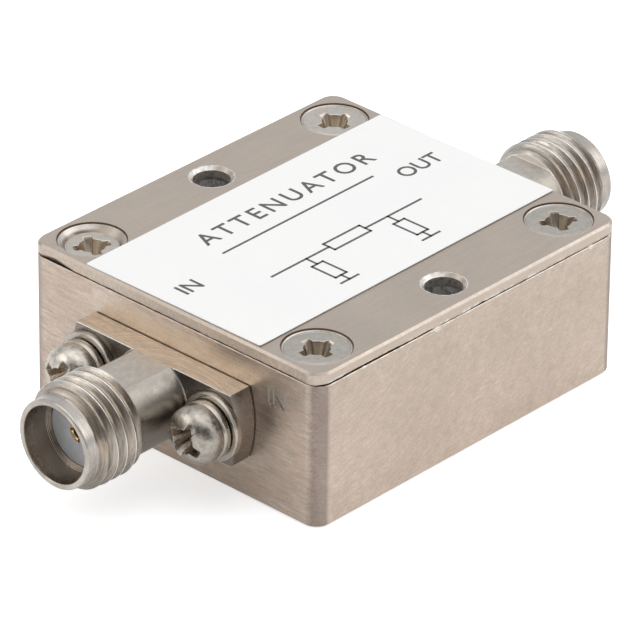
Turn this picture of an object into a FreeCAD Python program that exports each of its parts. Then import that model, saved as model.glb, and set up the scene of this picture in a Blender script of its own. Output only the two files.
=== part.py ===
import FreeCAD, Part
import math
import operator
import os

import Sketcher
from FreeCAD import Placement, Rotation, Vector

# A small coaxial attenuator module: a milled housing with a screwed cover and label,
# a flange-mounted threaded coaxial jack on each end, and the pi network on its board.
# X runs along the signal path from the input end (-X) to the output end (+X), Z is up,
# and the origin is the middle of the base. Left and right are seen looking along +X.

# Driving sizes in millimetres (angles in degrees).
sizes = {
    # housing
    "housingLength": "24.9",
    "housingWidth": "22.2",
    "housingHeight": "9.0",
    "cornerRadius": "1.0",
    "baseEdgeBreak": "0.15",
    "seamBreak": "0.05",
    "endWall": "4.75",
    "sideWall": "5.6",
    "cavityCornerRadius": "1.5",
    "mountHoleInset": "2.15",
    "mountHoleDiameter": "2.2",
    "mountHoleBreak": "0.2",
    "coverTapDepth": "5.2",
    "flangeTapDepth": "3.8",
    "boardTapDepth": "2.6",
    "tapBreak": "0.2",
    "drillAngle": "118",
    # cover and label
    "coverThickness": "0.8",
    "coverEdgeBreak": "0.14",
    "coverScrewInset": "2.45",
    "coverScrewHole": "2.4",
    "countersinkDiameter": "3.96",
    "labelEndGap": "0.2",
    "labelSideGap": "4.45",
    "labelThickness": "0.08",
    "labelOffset": "0.3",
    "labelSkew": "0.5",
    # screws and washers
    "screwDiameter": "2.0",
    "screwTip": "0.25",
    "coverScrewLength": "5.0",
    "coverScrewSink": "0.1",
    "deepScrewSink": "0.4",
    "flatRecessReach": "1.1",
    "flatRecessWidth": "0.48",
    "flatRecessDepth": "0.9",
    "flangeScrewLength": "6.0",
    "panHeadDiameter": "3.4",
    "panHeadHeight": "1.6",
    "panHeadRim": "0.45",
    "panRecessReach": "1.3",
    "panRecessWidth": "0.5",
    "panRecessDepth": "1.2",
    "flatWasherDiameter": "4.1",
    "flatWasherThickness": "0.5",
    "flatWasherBreak": "0.05",
    "lockWasherDiameter": "3.5",
    "lockWasherThickness": "0.55",
    "lockWasherBreak": "0.1",
    "lockWasherSlit": "0.3",
    "lockWasherSlant": "0.25",
    "washerBore": "2.2",
    "boardScrewDiameter": "1.4",
    "boardScrewLength": "2.8",
    "boardScrewHeadDiameter": "2.4",
    "boardScrewHeadHeight": "0.9",
    "boardScrewHeadBreak": "0.12",
    "boardScrewSlotWidth": "0.4",
    "boardScrewSlotDepth": "0.45",
    "threadClearance": "0.02",
    # coaxial jacks
    "portHeight": "4.95",
    "jackLength": "9.3",
    "flangeLength": "12.7",
    "flangeHeight": "4.56",
    "flangeThickness": "1.55",
    "flangeHoleSpacing": "9.6",
    "flangeHoleDiameter": "2.2",
    "barrelDiameter": "5.32",
    "barrelFoot": "0.08",
    "threadDiameter": "6.35",
    "threadRunout": "0.35",
    "threadEntry": "0.55",
    "threadFrontSetback": "0.8",
    "threadRearSetback": "4.15",
    "pilotDiameter": "5.36",
    "pilotBreak": "0.08",
    "mouthDiameter": "4.62",
    "mouthDepth": "1.9",
    "mouthBreak": "0.06",
    "dielectricDiameter": "4.1",
    "dielectricReach": "2.6",
    "dielectricBackWall": "0.8",
    "collarDiameter": "4.3",
    "collarThickness": "0.5",
    "faceSetback": "0.03",
    "fitClearance": "0.02",
    "contactDiameter": "1.27",
    "socketDiameter": "0.94",
    "socketDepth": "2.6",
    "socketBreak": "0.06",
    "slotWidth": "0.16",
    "slotDepth": "2.1",
    "barbDiameter": "1.7",
    "barbLength": "0.6",
    "barbHeight": "1.5",
    "tailDiameter": "0.5",
    "tailOverlap": "1.2",
    "feedHoleDiameter": "1.2",
    # board, strip lines and pi network
    "boardEndGap": "0.2",
    "boardSideGap": "0.3",
    "boardThickness": "0.64",
    "boardCornerCut": "0.8",
    "boardScrewInset": "1.5",
    "boardHoleDiameter": "1.6",
    "stripWidth": "1.4",
    "stripThickness": "0.05",
    "stripInset": "0.3",
    "stripGap": "1.1",
    "solderFilm": "0.04",
    "solderLength": "1.0",
    "solderWall": "0.18",
    "chipLength": "2.0",
    "chipWidth": "1.25",
    "chipHeight": "0.5",
    "chipEndLength": "0.4",
    "chipEndStep": "0.04",
    "shuntPosition": "2.6",
    "groundPadGap": "0.9",
    "groundPadLength": "1.9",
    "groundPadWidth": "1.3",
    "viaDiameter": "0.5",
    "viaInset": "0.9",
}


class Size:
    # A size that carries its spreadsheet expression together with its present value.
    def __init__(self, text, value):
        self.text = text
        self.value = value

    def __add__(self, other):
        return combine(self, "+", other)

    def __radd__(self, other):
        return combine(other, "+", self)

    def __sub__(self, other):
        return combine(self, "-", other)

    def __rsub__(self, other):
        return combine(other, "-", self)

    def __mul__(self, other):
        return combine(self, "*", other)

    def __rmul__(self, other):
        return combine(other, "*", self)

    def __truediv__(self, other):
        return combine(self, "/", other)

    def __neg__(self):
        return combine(-1, "*", self)


operations = {"+": operator.add, "-": operator.sub, "*": operator.mul, "/": operator.truediv}


def asSize(item):
    if isinstance(item, Size):
        return item
    return Size(f"({item})", float(item))


def combine(first, sign, second):
    a = asSize(first)
    b = asSize(second)
    return Size(f"({a.text} {sign} {b.text})", operations[sign](a.value, b.value))


doc = FreeCAD.newDocument("coaxialAttenuator")
sheet = doc.addObject("Spreadsheet::Sheet", "Sizes")
for row, (alias, number) in enumerate(sizes.items(), start=1):
    sheet.set(f"A{row}", alias)
    sheet.set(f"B{row}", number)
    sheet.setAlias(f"B{row}", alias)
doc.recompute()


def size(alias):
    return Size(f"Sizes.{alias}", float(sheet.get(alias)))


# Sketch and feature helpers

def newBody(name):
    body = doc.addObject("PartDesign::Body", name)
    body.Label = name
    return body


def place(body, x, y, z, rotation=Rotation()):
    body.Placement = Placement(Vector(asSize(x).value, asSize(y).value, asSize(z).value), rotation)
    for axis, coordinate in zip("xyz", (x, y, z)):
        body.setExpression(f"Placement.Base.{axis}", asSize(coordinate).text)


def originPlane(body, role):
    return next(item for item in body.Origin.OriginFeatures if item.Role == role)


def newSketch(body, name, role="XY_Plane", offset=None):
    sketch = body.newObject("Sketcher::SketchObject", name)
    sketch.AttachmentSupport = [(originPlane(body, role), "")]
    sketch.MapMode = "FlatFace"
    if offset is not None:
        sketch.setExpression("AttachmentOffset.Base.z", asSize(offset).text)
    return sketch


def constrain(sketch, kind, *arguments):
    *where, amount = arguments
    amount = asSize(amount)
    index = sketch.addConstraint(Sketcher.Constraint(kind, *where, amount.value))
    sketch.setExpression(f"Constraints[{index}]", amount.text)


def arcBetween(start, end, radius, bulge):
    # bulge +1 puts the arc's centre on the left of the way from start to end, -1 on its right
    chord = end - start
    rise = math.sqrt(max(radius ** 2 - (chord.Length / 2) ** 2, 0.0))
    normal = Vector(-chord.y, chord.x, 0).normalize()
    centre = (start + end) * 0.5 + normal * rise * bulge
    first, last = (start, end) if bulge > 0 else (end, start)
    angles = [math.atan2(p.y - centre.y, p.x - centre.x) for p in (first, last)]
    circle = Part.Circle(centre, Vector(0, 0, 1), radius)
    return Part.ArcOfCircle(circle, angles[0], angles[1])


def addOutline(sketch, points):
    # Each point is (x, y) for a straight run to the next, or (x, y, radius, bulge) for an arc.
    first = sketch.GeometryCount
    spots = [Vector(asSize(p[0]).value, asSize(p[1]).value, 0) for p in points]
    ends = []
    for i, point in enumerate(points):
        after = spots[(i + 1) % len(points)]
        if len(point) == 2:
            sketch.addGeometry(Part.LineSegment(spots[i], after), False)
            ends.append((1, 2))
        else:
            arc = arcBetween(spots[i], after, asSize(point[2]).value, point[3])
            sketch.addGeometry(arc, False)
            ends.append((1, 2) if point[3] > 0 else (2, 1))
    for i, point in enumerate(points):
        following = (i + 1) % len(points)
        sketch.addConstraint(
            Sketcher.Constraint("Coincident", first + i, ends[i][1], first + following, ends[following][0])
        )
        constrain(sketch, "DistanceX", -1, 1, first + i, ends[i][0], point[0])
        constrain(sketch, "DistanceY", -1, 1, first + i, ends[i][0], point[1])
        if len(point) > 2:
            constrain(sketch, "Radius", first + i, point[2])


def addCircle(sketch, x, y, diameter):
    centre = Vector(asSize(x).value, asSize(y).value, 0)
    circle = Part.Circle(centre, Vector(0, 0, 1), asSize(diameter).value / 2)
    index = sketch.addGeometry(circle, False)
    constrain(sketch, "DistanceX", -1, 1, index, 3, x)
    constrain(sketch, "DistanceY", -1, 1, index, 3, y)
    constrain(sketch, "Diameter", index, diameter)


def rectangle(left, bottom, right, top):
    return [(left, bottom), (right, bottom), (right, top), (left, top)]


def roundedRectangle(length, width, radius):
    x = length / 2
    y = width / 2
    return [
        (radius - x, -y), (x - radius, -y, radius, 1),
        (x, radius - y), (x, y - radius, radius, 1),
        (x - radius, y), (radius - x, y, radius, 1),
        (-x, y - radius), (-x, radius - y, radius, 1),
    ]


def crossOutline(reach, width):
    w = width / 2
    return [
        (reach, -w), (reach, w), (w, w), (w, reach), (-w, reach), (-w, w),
        (-reach, w), (-reach, -w), (-w, -w), (-w, -reach), (w, -reach), (w, -w),
    ]


def revolve(body, name, points):
    # The points are (radius, height), turned about the body's own Z axis.
    sketch = newSketch(body, name + "Profile", "XZ_Plane")
    addOutline(sketch, points)
    turned = body.newObject("PartDesign::Revolution", name)
    turned.Profile = sketch
    turned.ReferenceAxis = (sketch, ["V_Axis"])
    turned.Angle = 360
    return turned


def pad(body, name, sketch, length):
    feature = body.newObject("PartDesign::Pad", name)
    feature.Profile = sketch
    feature.setExpression("Length", asSize(length).text)
    return feature


def pocket(body, name, sketch, depth=None, upward=False):
    feature = body.newObject("PartDesign::Pocket", name)
    feature.Profile = sketch
    feature.Reversed = upward
    if depth is None:
        feature.Type = "ThroughAll"
    else:
        feature.setExpression("Length", asSize(depth).text)
    return feature


def dress(body, kind, name, amount, chosen):
    # Chamfers or fillets the edges of the body's last feature for which chosen(edge) is true.
    doc.recompute()
    base = body.Tip
    names = [f"Edge{i}" for i, edge in enumerate(base.Shape.Edges, start=1) if chosen(edge)]
    feature = body.newObject(f"PartDesign::{kind}", name)
    feature.Base = (base, names)
    feature.setExpression("Size" if kind == "Chamfer" else "Radius", asSize(amount).text)
    return feature


def liesAt(level):
    def test(edge):
        box = edge.BoundBox
        return max(abs(box.ZMin - level), abs(box.ZMax - level)) < 1e-4
    return test


def crossRecess(body, top, reach, width, depth):
    # A driver recess: four wings that narrow towards the floor, and a cone in the middle.
    mouth = newSketch(body, "RecessMouth", offset=top)
    addOutline(mouth, crossOutline(reach, width))
    floor = newSketch(body, "RecessFloor", offset=top - depth)
    addOutline(floor, crossOutline(reach * 0.42, width * 0.7))
    wings = body.newObject("PartDesign::SubtractiveLoft", "RecessWings")
    wings.Profile = mouth
    wings.Sections = [floor]
    wings.Ruled = True
    profile = newSketch(body, "RecessConeProfile", "XZ_Plane")
    addOutline(profile, [(0, top - depth * 1.15), (reach * 0.56, top), (0, top)])
    cone = body.newObject("PartDesign::Groove", "RecessCone")
    cone.Profile = profile
    cone.ReferenceAxis = (profile, ["V_Axis"])
    cone.Angle = 360
    return cone


def drill(body, name, sketch, bore, mouth, depth=None):
    # Round holes at the sketch's circles with a 90 degree chamfer to the mouth's diameter.
    # With no depth they go right through, and blind ones end in the drill's point.
    doc.recompute()
    hole = body.newObject("PartDesign::Hole", name)
    hole.Profile = sketch
    hole.setExpression("Diameter", asSize(bore).text)
    hole.HoleCutType = "Countersink"
    hole.HoleCutCustomValues = True
    hole.setExpression("HoleCutDiameter", asSize(mouth).text)
    hole.HoleCutCountersinkAngle = 90
    if depth is None:
        hole.DepthType = "ThroughAll"
        hole.DrillPoint = "Flat"
    else:
        hole.DepthType = "Dimension"
        hole.setExpression("Depth", asSize(depth).text)
        hole.DrillPoint = "Angled"
        hole.setExpression("DrillPointAngle", size("drillAngle").text)
    return hole


# Values that several pieces share

housingLength = size("housingLength")
housingWidth = size("housingWidth")
housingHeight = size("housingHeight")
coverThickness = size("coverThickness")
cornerRadius = size("cornerRadius")
seamBreak = size("seamBreak")
portHeight = size("portHeight")
screwDiameter = size("screwDiameter")
threadClearance = size("threadClearance")
fitClearance = size("fitClearance")
flangeThickness = size("flangeThickness")
dielectricDiameter = size("dielectricDiameter")
dielectricReach = size("dielectricReach")
jackLength = size("jackLength")
mouthDepth = size("mouthDepth")
tailDiameter = size("tailDiameter")
endWall = size("endWall")
cavityLength = housingLength - endWall * 2
cavityWidth = housingWidth - size("sideWall") * 2
boardLength = cavityLength - size("boardEndGap") * 2
boardWidth = cavityWidth - size("boardSideGap") * 2
boardThickness = size("boardThickness")
stripThickness = size("stripThickness")
stripWidth = size("stripWidth")
solderFilm = size("solderFilm")

coverTop = housingHeight + coverThickness
jackBore = dielectricDiameter + fitClearance * 2
tappedHole = screwDiameter + threadClearance * 2
stripTop = portHeight - tailDiameter / 2 - solderFilm
boardTop = stripTop - stripThickness
cavityFloor = boardTop - boardThickness

corners = [("in_left", -1, 1), ("in_right", -1, -1), ("out_left", 1, 1), ("out_right", 1, -1)]


def cornerSpots(length, width, inset):
    return [(name, x * (length / 2 - inset), y * (width / 2 - inset)) for name, x, y in corners]


coverScrewSpots = cornerSpots(housingLength, housingWidth, size("coverScrewInset"))
boardScrewSpots = cornerSpots(boardLength, boardWidth, size("boardScrewInset"))
mountHoleSpots = [(0, side * (housingWidth / 2 - size("mountHoleInset"))) for side in (1, -1)]

# Turns a piece's own Z axis outward at each end: -X at the input, +X at the output.
ends = {
    "in": (-1, Rotation(Vector(0, 1, 0), -90)),
    "out": (1, Rotation(Vector(0, 1, 0), 90)),
}
sides = {"left": 1, "right": -1}


# How far each screw and each spring washer's slit was turned when it was tightened, in degrees
coverScrewTurns = {"in_left": -28, "in_right": -8, "out_left": -5, "out_right": -31}
boardScrewTurns = {"in_left": 15, "in_right": 70, "out_left": 130, "out_right": 40}
flangeTurns = {
    "in_left": (170, -20), "in_right": (215, -18), "out_left": (120, 35), "out_right": (60, 10),
}


def placeAtEnd(body, end, height=0, sideways=0, turn=0):
    # height is measured outward from the housing's end face
    direction, rotation = ends[end]
    spin = Rotation(Vector(0, 0, 1), turn)
    place(body, direction * (housingLength / 2 + height), sideways, portHeight, rotation * spin)


# Housing, cover and label

def makeHousing():
    body = newBody("housing")
    outline = newSketch(body, "Outline")
    addOutline(outline, roundedRectangle(housingLength, housingWidth, cornerRadius))
    pad(body, "Block", outline, housingHeight)
    dress(body, "Chamfer", "BaseBreak", size("baseEdgeBreak"), liesAt(0))
    dress(body, "Chamfer", "SeamBreak", seamBreak, liesAt(housingHeight.value))

    cavity = newSketch(body, "CavityOutline", offset=housingHeight)
    addOutline(cavity, roundedRectangle(cavityLength, cavityWidth, size("cavityCornerRadius")))
    pocket(body, "Cavity", cavity, housingHeight - cavityFloor)

    through = newSketch(body, "MountHoles", offset=housingHeight)
    for x, y in mountHoleSpots:
        addCircle(through, x, y, size("mountHoleDiameter"))
    pocket(body, "MountBores", through)

    chamferedTap = tappedHole + size("tapBreak") * 2
    coverTaps = newSketch(body, "CoverTaps", offset=housingHeight)
    for name, x, y in coverScrewSpots:
        addCircle(coverTaps, x, y, tappedHole)
    drill(body, "CoverTapBores", coverTaps, tappedHole, chamferedTap, size("coverTapDepth"))

    boardTap = size("boardScrewDiameter") + threadClearance * 2
    boardTaps = newSketch(body, "BoardTaps", offset=cavityFloor)
    for name, x, y in boardScrewSpots:
        addCircle(boardTaps, x, y, boardTap)
    boardTapMouth = boardTap + size("tapBreak")
    drill(body, "BoardTapBores", boardTaps, boardTap, boardTapMouth, size("boardTapDepth"))

    # One end is bored for its jack, and the same cuts are mirrored to the other.
    endFace = housingLength / 2
    seat = newSketch(body, "JackSeat", "YZ_Plane", endFace)
    addCircle(seat, 0, portHeight, jackBore)
    seatBore = pocket(body, "JackSeatBore", seat, dielectricReach)
    feed = newSketch(body, "FeedHole", "YZ_Plane", endFace)
    addCircle(feed, 0, portHeight, size("feedHoleDiameter"))
    feedBore = pocket(body, "FeedBore", feed, endWall + size("cavityCornerRadius") / 2)
    flangeTaps = newSketch(body, "FlangeTaps", "YZ_Plane", endFace)
    for side in (1, -1):
        addCircle(flangeTaps, side * size("flangeHoleSpacing") / 2, portHeight, tappedHole)
    flangeBores = drill(body, "FlangeTapBores", flangeTaps, tappedHole, chamferedTap, size("flangeTapDepth"))
    mirrored = body.newObject("PartDesign::Mirrored", "OtherEnd")
    mirrored.Originals = [seatBore, feedBore, flangeBores]
    mirrored.MirrorPlane = (originPlane(body, "YZ_Plane"), [""])
    body.Tip = mirrored
    return body


def makeCover():
    body = newBody("cover")
    outline = newSketch(body, "Outline", offset=housingHeight)
    addOutline(outline, roundedRectangle(housingLength, housingWidth, cornerRadius))
    pad(body, "Plate", outline, coverThickness)
    dress(body, "Chamfer", "TopBreak", size("coverEdgeBreak"), liesAt(coverTop.value))
    dress(body, "Chamfer", "SeamBreak", seamBreak, liesAt(housingHeight.value))
    screwHoles = newSketch(body, "ScrewHoles", offset=coverTop)
    for name, x, y in coverScrewSpots:
        addCircle(screwHoles, x, y, size("coverScrewHole"))
    drill(body, "Countersinks", screwHoles, size("coverScrewHole"), size("countersinkDiameter"))
    mountHole = size("mountHoleDiameter")
    mountHoles = newSketch(body, "MountHoles", offset=coverTop)
    for x, y in mountHoleSpots:
        addCircle(mountHoles, x, y, mountHole)
    drill(body, "MountBores", mountHoles, mountHole, mountHole + size("mountHoleBreak") * 2)
    return body


def makeLabel():
    body = newBody("label")
    outline = newSketch(body, "Outline")
    x = housingLength / 2 - size("labelEndGap")
    y = housingWidth / 2 - size("labelSideGap")
    addOutline(outline, rectangle(-x, -y, x, y))
    pad(body, "Sheet", outline, size("labelThickness"))
    place(body, 0, size("labelOffset"), coverTop, Rotation(Vector(0, 0, 1), size("labelSkew").value))
    body.setExpression("Placement.Rotation.Angle", size("labelSkew").text)
    return body


# Screws and washers

def makeCoverScrew(name, x, y, sink):
    # Flat head: its top is at Z = 0 and its cone follows the cover's countersink.
    body = newBody(f"cover_screw_{name}")
    shank = screwDiameter / 2
    head = size("countersinkDiameter") / 2 - sink - fitClearance
    length = size("coverScrewLength")
    tip = size("screwTip")
    revolve(body, "Screw", [
        (0, -length), (shank - tip, -length), (shank, tip - length),
        (shank, shank - head), (head, 0), (0, 0),
    ])
    crossRecess(body, asSize(0), size("flatRecessReach"), size("flatRecessWidth"), size("flatRecessDepth"))
    place(body, x, y, coverTop - sink, Rotation(Vector(0, 0, 1), coverScrewTurns[name]))
    return body


def makePanScrew(name):
    # Domed head: its underside is at Z = 0.
    body = newBody(name)
    shank = screwDiameter / 2
    length = size("flangeScrewLength")
    tip = size("screwTip")
    head = size("panHeadDiameter") / 2
    height = size("panHeadHeight")
    rim = size("panHeadRim")
    dome = height - rim
    domeRadius = (head * head + dome * dome) / (dome * 2)
    revolve(body, "Screw", [
        (0, -length), (shank - tip, -length), (shank, tip - length), (shank, 0),
        (head, 0), (head, rim, domeRadius, 1), (0, height),
    ])
    crossRecess(body, height, size("panRecessReach"), size("panRecessWidth"), size("panRecessDepth"))
    return body


def makeFlatWasher(name):
    body = newBody(name)
    bore = size("washerBore") / 2
    rim = size("flatWasherDiameter") / 2
    top = size("flatWasherThickness")
    edge = size("flatWasherBreak")
    revolve(body, "Ring", [(bore, 0), (rim - edge, 0), (rim, edge), (rim, top - edge), (rim - edge, top), (bore, top)])
    return body


def makeLockWasher(name):
    # A flattened spring washer, cut through at one side by a slanted slit.
    body = newBody(name)
    bore = size("washerBore") / 2
    rim = size("lockWasherDiameter") / 2
    thickness = size("lockWasherThickness")
    slit = size("lockWasherSlit") / 2
    slant = size("lockWasherSlant")
    edge = size("lockWasherBreak")
    revolve(body, "Ring", [
        (bore, 0), (rim - edge, 0), (rim, edge),
        (rim, thickness - edge), (rim - edge, thickness), (bore, thickness),
    ])
    slot = newSketch(body, "Slit", "YZ_Plane")
    addOutline(slot, [
        (-slit - slant, -thickness), (slit - slant, -thickness),
        (slit + slant, thickness * 2), (slant - slit, thickness * 2),
    ])
    pocket(body, "SlitCut", slot, rim * 1.2, upward=True)
    return body


def makeFlangeFasteners(end, side):
    sideways = sides[side] * size("flangeHoleSpacing") / 2
    washerTop = flangeThickness + size("flatWasherThickness")
    headSeat = washerTop + size("lockWasherThickness")
    flat = makeFlatWasher(f"flat_washer_{end}_{side}")
    placeAtEnd(flat, end, flangeThickness, sideways)
    lock = makeLockWasher(f"lock_washer_{end}_{side}")
    slitTurn, screwTurn = flangeTurns[f"{end}_{side}"]
    placeAtEnd(lock, end, washerTop, sideways, slitTurn)
    screw = makePanScrew(f"flange_screw_{end}_{side}")
    placeAtEnd(screw, end, headSeat, sideways, screwTurn)
    return [flat, lock, screw]


# Coaxial jacks: Z runs outward from the flange's seat on the housing

def makeJackShell(end):
    body = newBody(f"{end}_jack_shell")
    bore = jackBore / 2
    flange = size("flangeLength") / 2
    barrel = size("barrelDiameter") / 2
    foot = size("barrelFoot")
    thread = size("threadDiameter") / 2
    threadRear = jackLength - size("threadRearSetback")
    threadFront = jackLength - size("threadFrontSetback")
    pilot = size("pilotDiameter") / 2
    pilotBreak = size("pilotBreak")
    mouth = size("mouthDiameter") / 2
    mouthBreak = size("mouthBreak")
    collar = size("collarDiameter") / 2 + fitClearance
    collarSeat = size("collarThickness") + fitClearance
    revolve(body, "Turned", [
        (bore, collarSeat), (collar, collarSeat), (collar, 0), (flange, 0), (flange, flangeThickness),
        (barrel + foot, flangeThickness), (barrel, flangeThickness + foot),
        (barrel, threadRear), (thread, threadRear + size("threadRunout")),
        (thread, threadFront - size("threadEntry")), (pilot, threadFront),
        (pilot, jackLength - pilotBreak), (pilot - pilotBreak, jackLength),
        (mouth + mouthBreak, jackLength), (mouth, jackLength - mouthBreak),
        (mouth, jackLength - mouthDepth), (bore, jackLength - mouthDepth),
    ])
    # The round flange is milled flat above and below, which leaves its two ends round.
    # The cutter runs on over the barrel as far as the thread.
    flats = newSketch(body, "Flats")
    half = size("flangeHeight") / 2
    addOutline(flats, rectangle(half, -flange - 1, flange + 1, flange + 1))
    addOutline(flats, rectangle(-flange - 1, -flange - 1, -half, flange + 1))
    pocket(body, "FlatCuts", flats, threadRear, upward=True)
    holes = newSketch(body, "ScrewHoles")
    for side in (1, -1):
        addCircle(holes, 0, side * size("flangeHoleSpacing") / 2, size("flangeHoleDiameter"))
    pocket(body, "ScrewBores", holes, flangeThickness * 1.2, upward=True)
    placeAtEnd(body, end)
    return body


def makeDielectric(end):
    # Its collar is trapped between the flange and the housing, and its groove holds the contact.
    body = newBody(f"{end}_dielectric")
    outer = dielectricDiameter / 2
    collar = size("collarDiameter") / 2
    inner = size("contactDiameter") / 2 + fitClearance
    groove = size("barbDiameter") / 2 + fitClearance
    grooveLow = size("barbHeight") - fitClearance
    grooveHigh = size("barbHeight") + size("barbLength") + fitClearance
    tail = tailDiameter / 2 + fitClearance
    shoulder = size("dielectricBackWall") - dielectricReach
    face = jackLength - mouthDepth - size("faceSetback")
    revolve(body, "Bead", [
        (tail, -dielectricReach), (outer, -dielectricReach), (outer, 0), (collar, 0),
        (collar, size("collarThickness")), (outer, size("collarThickness")), (outer, face),
        (inner, face), (inner, grooveHigh), (groove, grooveHigh), (groove, grooveLow),
        (inner, grooveLow), (inner, shoulder), (tail, shoulder),
    ])
    placeAtEnd(body, end)
    return body


def makeContact(end):
    # Spring socket in front, with four fingers, and a thin tail that reaches the strip line.
    body = newBody(f"{end}_contact")
    outer = size("contactDiameter") / 2
    socket = size("socketDiameter") / 2
    mouthBreak = size("socketBreak")
    face = jackLength - mouthDepth - size("faceSetback")
    tail = tailDiameter / 2
    tailEnd = -endWall - size("tailOverlap")
    socketFloor = face - size("socketDepth")
    shoulder = size("dielectricBackWall") - dielectricReach
    barb = size("barbDiameter") / 2
    barbLow = size("barbHeight")
    barbHigh = barbLow + size("barbLength")
    revolve(body, "Turned", [
        (0, tailEnd), (tail, tailEnd), (tail, shoulder), (outer, shoulder), (outer, barbLow),
        (barb, barbLow), (outer, barbHigh), (outer, face), (socket + mouthBreak, face),
        (socket, face - mouthBreak), (socket, socketFloor), (0, socketFloor - socket * 0.6),
    ])
    slot = newSketch(body, "Slot", offset=face)
    half = size("slotWidth") / 2
    addOutline(slot, rectangle(0, -half, outer * 1.2, half))
    cut = pocket(body, "SlotCut", slot, size("slotDepth"))
    fingers = body.newObject("PartDesign::PolarPattern", "Slots")
    fingers.Originals = [cut]
    fingers.Axis = (originPlane(body, "Z_Axis"), [""])
    fingers.Angle = 360
    fingers.Occurrences = 4
    body.Tip = fingers
    placeAtEnd(body, end)
    return body


# Board and pi network

def makeBoard():
    body = newBody("circuit_board")
    x = boardLength / 2
    y = boardWidth / 2
    cut = size("boardCornerCut")
    outline = newSketch(body, "Outline", offset=cavityFloor)
    addOutline(outline, [
        (cut - x, -y), (x - cut, -y), (x, cut - y), (x, y - cut),
        (x - cut, y), (cut - x, y), (-x, y - cut), (-x, cut - y),
    ])
    pad(body, "Laminate", outline, boardThickness)
    holes = newSketch(body, "Holes", offset=boardTop)
    for name, hx, hy in boardScrewSpots:
        addCircle(holes, hx, hy, size("boardHoleDiameter"))
    for end in ends:
        vx, vy = viaSpot(end)
        addCircle(holes, vx, vy, size("viaDiameter"))
    pocket(body, "HoleCuts", holes)
    return body


def makeStrip(end):
    # 50 ohm line from the jack's tail to the middle of the network
    direction = ends[end][0]
    body = newBody("input_strip" if end == "in" else "output_strip")
    near = size("stripGap") / 2
    far = boardLength / 2 - size("stripInset")
    half = stripWidth / 2
    outline = newSketch(body, "Outline", offset=boardTop)
    low, high = (near, far) if direction > 0 else (-far, -near)
    addOutline(outline, rectangle(low, -half, high, half))
    pad(body, "Foil", outline, stripThickness)
    return body


def padEdges(end):
    # the ground pad's lowest and highest X and Y
    direction = ends[end][0]
    middle = direction * size("shuntPosition")
    low = stripWidth / 2 + size("groundPadGap")
    return (
        middle - size("groundPadLength") / 2, low,
        middle + size("groundPadLength") / 2, low + size("groundPadWidth"),
    )


def viaSpot(end):
    left, bottom, right, top = padEdges(end)
    return (left + right) / 2, bottom + size("viaInset")


def makeGroundPad(end):
    body = newBody("input_ground_pad" if end == "in" else "output_ground_pad")
    outline = newSketch(body, "Outline", offset=boardTop)
    addOutline(outline, rectangle(*padEdges(end)))
    pad(body, "Foil", outline, stripThickness)
    via = newSketch(body, "Via", offset=cavityFloor)
    x, y = viaSpot(end)
    addCircle(via, x, y, size("viaDiameter") - fitClearance)
    pad(body, "Barrel", via, boardThickness + stripThickness)
    return body


def makeChip(name, x, y, turned):
    # Chip resistor on two metal ends that stand a little proud of its body.
    body = newBody(name)
    half = size("chipLength") / 2
    end = size("chipEndLength")
    step = size("chipEndStep")
    height = size("chipHeight")
    sketch = newSketch(body, "Side", "XZ_Plane", -size("chipWidth") / 2)
    addOutline(sketch, [
        (-half, 0), (end - half, 0), (end - half, step), (half - end, step), (half - end, 0), (half, 0),
        (half, height), (half - end, height), (half - end, height - step),
        (end - half, height - step), (end - half, height), (-half, height),
    ])
    pad(body, "Chip", sketch, size("chipWidth"))
    place(body, x, y, stripTop, Rotation(Vector(0, 0, 1), 90 if turned else 0))
    return body


def makeSolderJoint(end):
    # A bead round the contact's tail, flat where it wets the strip.
    direction = ends[end][0]
    body = newBody("input_solder" if end == "in" else "output_solder")
    outer = tailDiameter / 2 + size("solderWall")
    foot = tailDiameter / 2 + solderFilm
    length = size("solderLength")
    sketch = newSketch(body, "Section", "YZ_Plane", cavityLength / 2 - size("tailOverlap"))
    addOutline(sketch, [
        (outer, -foot), (outer, 0, outer, 1), (0, outer, outer, 1), (-outer, 0), (-outer, -foot),
    ])
    addCircle(sketch, 0, 0, tailDiameter + fitClearance)
    pad(body, "Bead", sketch, length)
    turn = Rotation(Vector(0, 0, 1), 0 if direction > 0 else 180)
    place(body, 0, 0, portHeight, turn)
    return body


def makeBoardScrew(name, x, y):
    # Slotted cheese head: its underside is at Z = 0.
    body = newBody(f"board_screw_{name}")
    shank = size("boardScrewDiameter") / 2
    length = size("boardScrewLength")
    tip = size("screwTip")
    head = size("boardScrewHeadDiameter") / 2
    height = size("boardScrewHeadHeight")
    edge = size("boardScrewHeadBreak")
    revolve(body, "Screw", [
        (0, -length), (shank - tip, -length), (shank, tip - length), (shank, 0),
        (head, 0), (head, height - edge), (head - edge, height), (0, height),
    ])
    slot = newSketch(body, "Slot", offset=height)
    half = size("boardScrewSlotWidth") / 2
    addOutline(slot, rectangle(-head * 1.2, -half, head * 1.2, half))
    pocket(body, "SlotCut", slot, size("boardScrewSlotDepth"))
    place(body, x, y, boardTop, Rotation(Vector(0, 0, 1), boardScrewTurns[name]))
    return body


# Assembly

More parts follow.
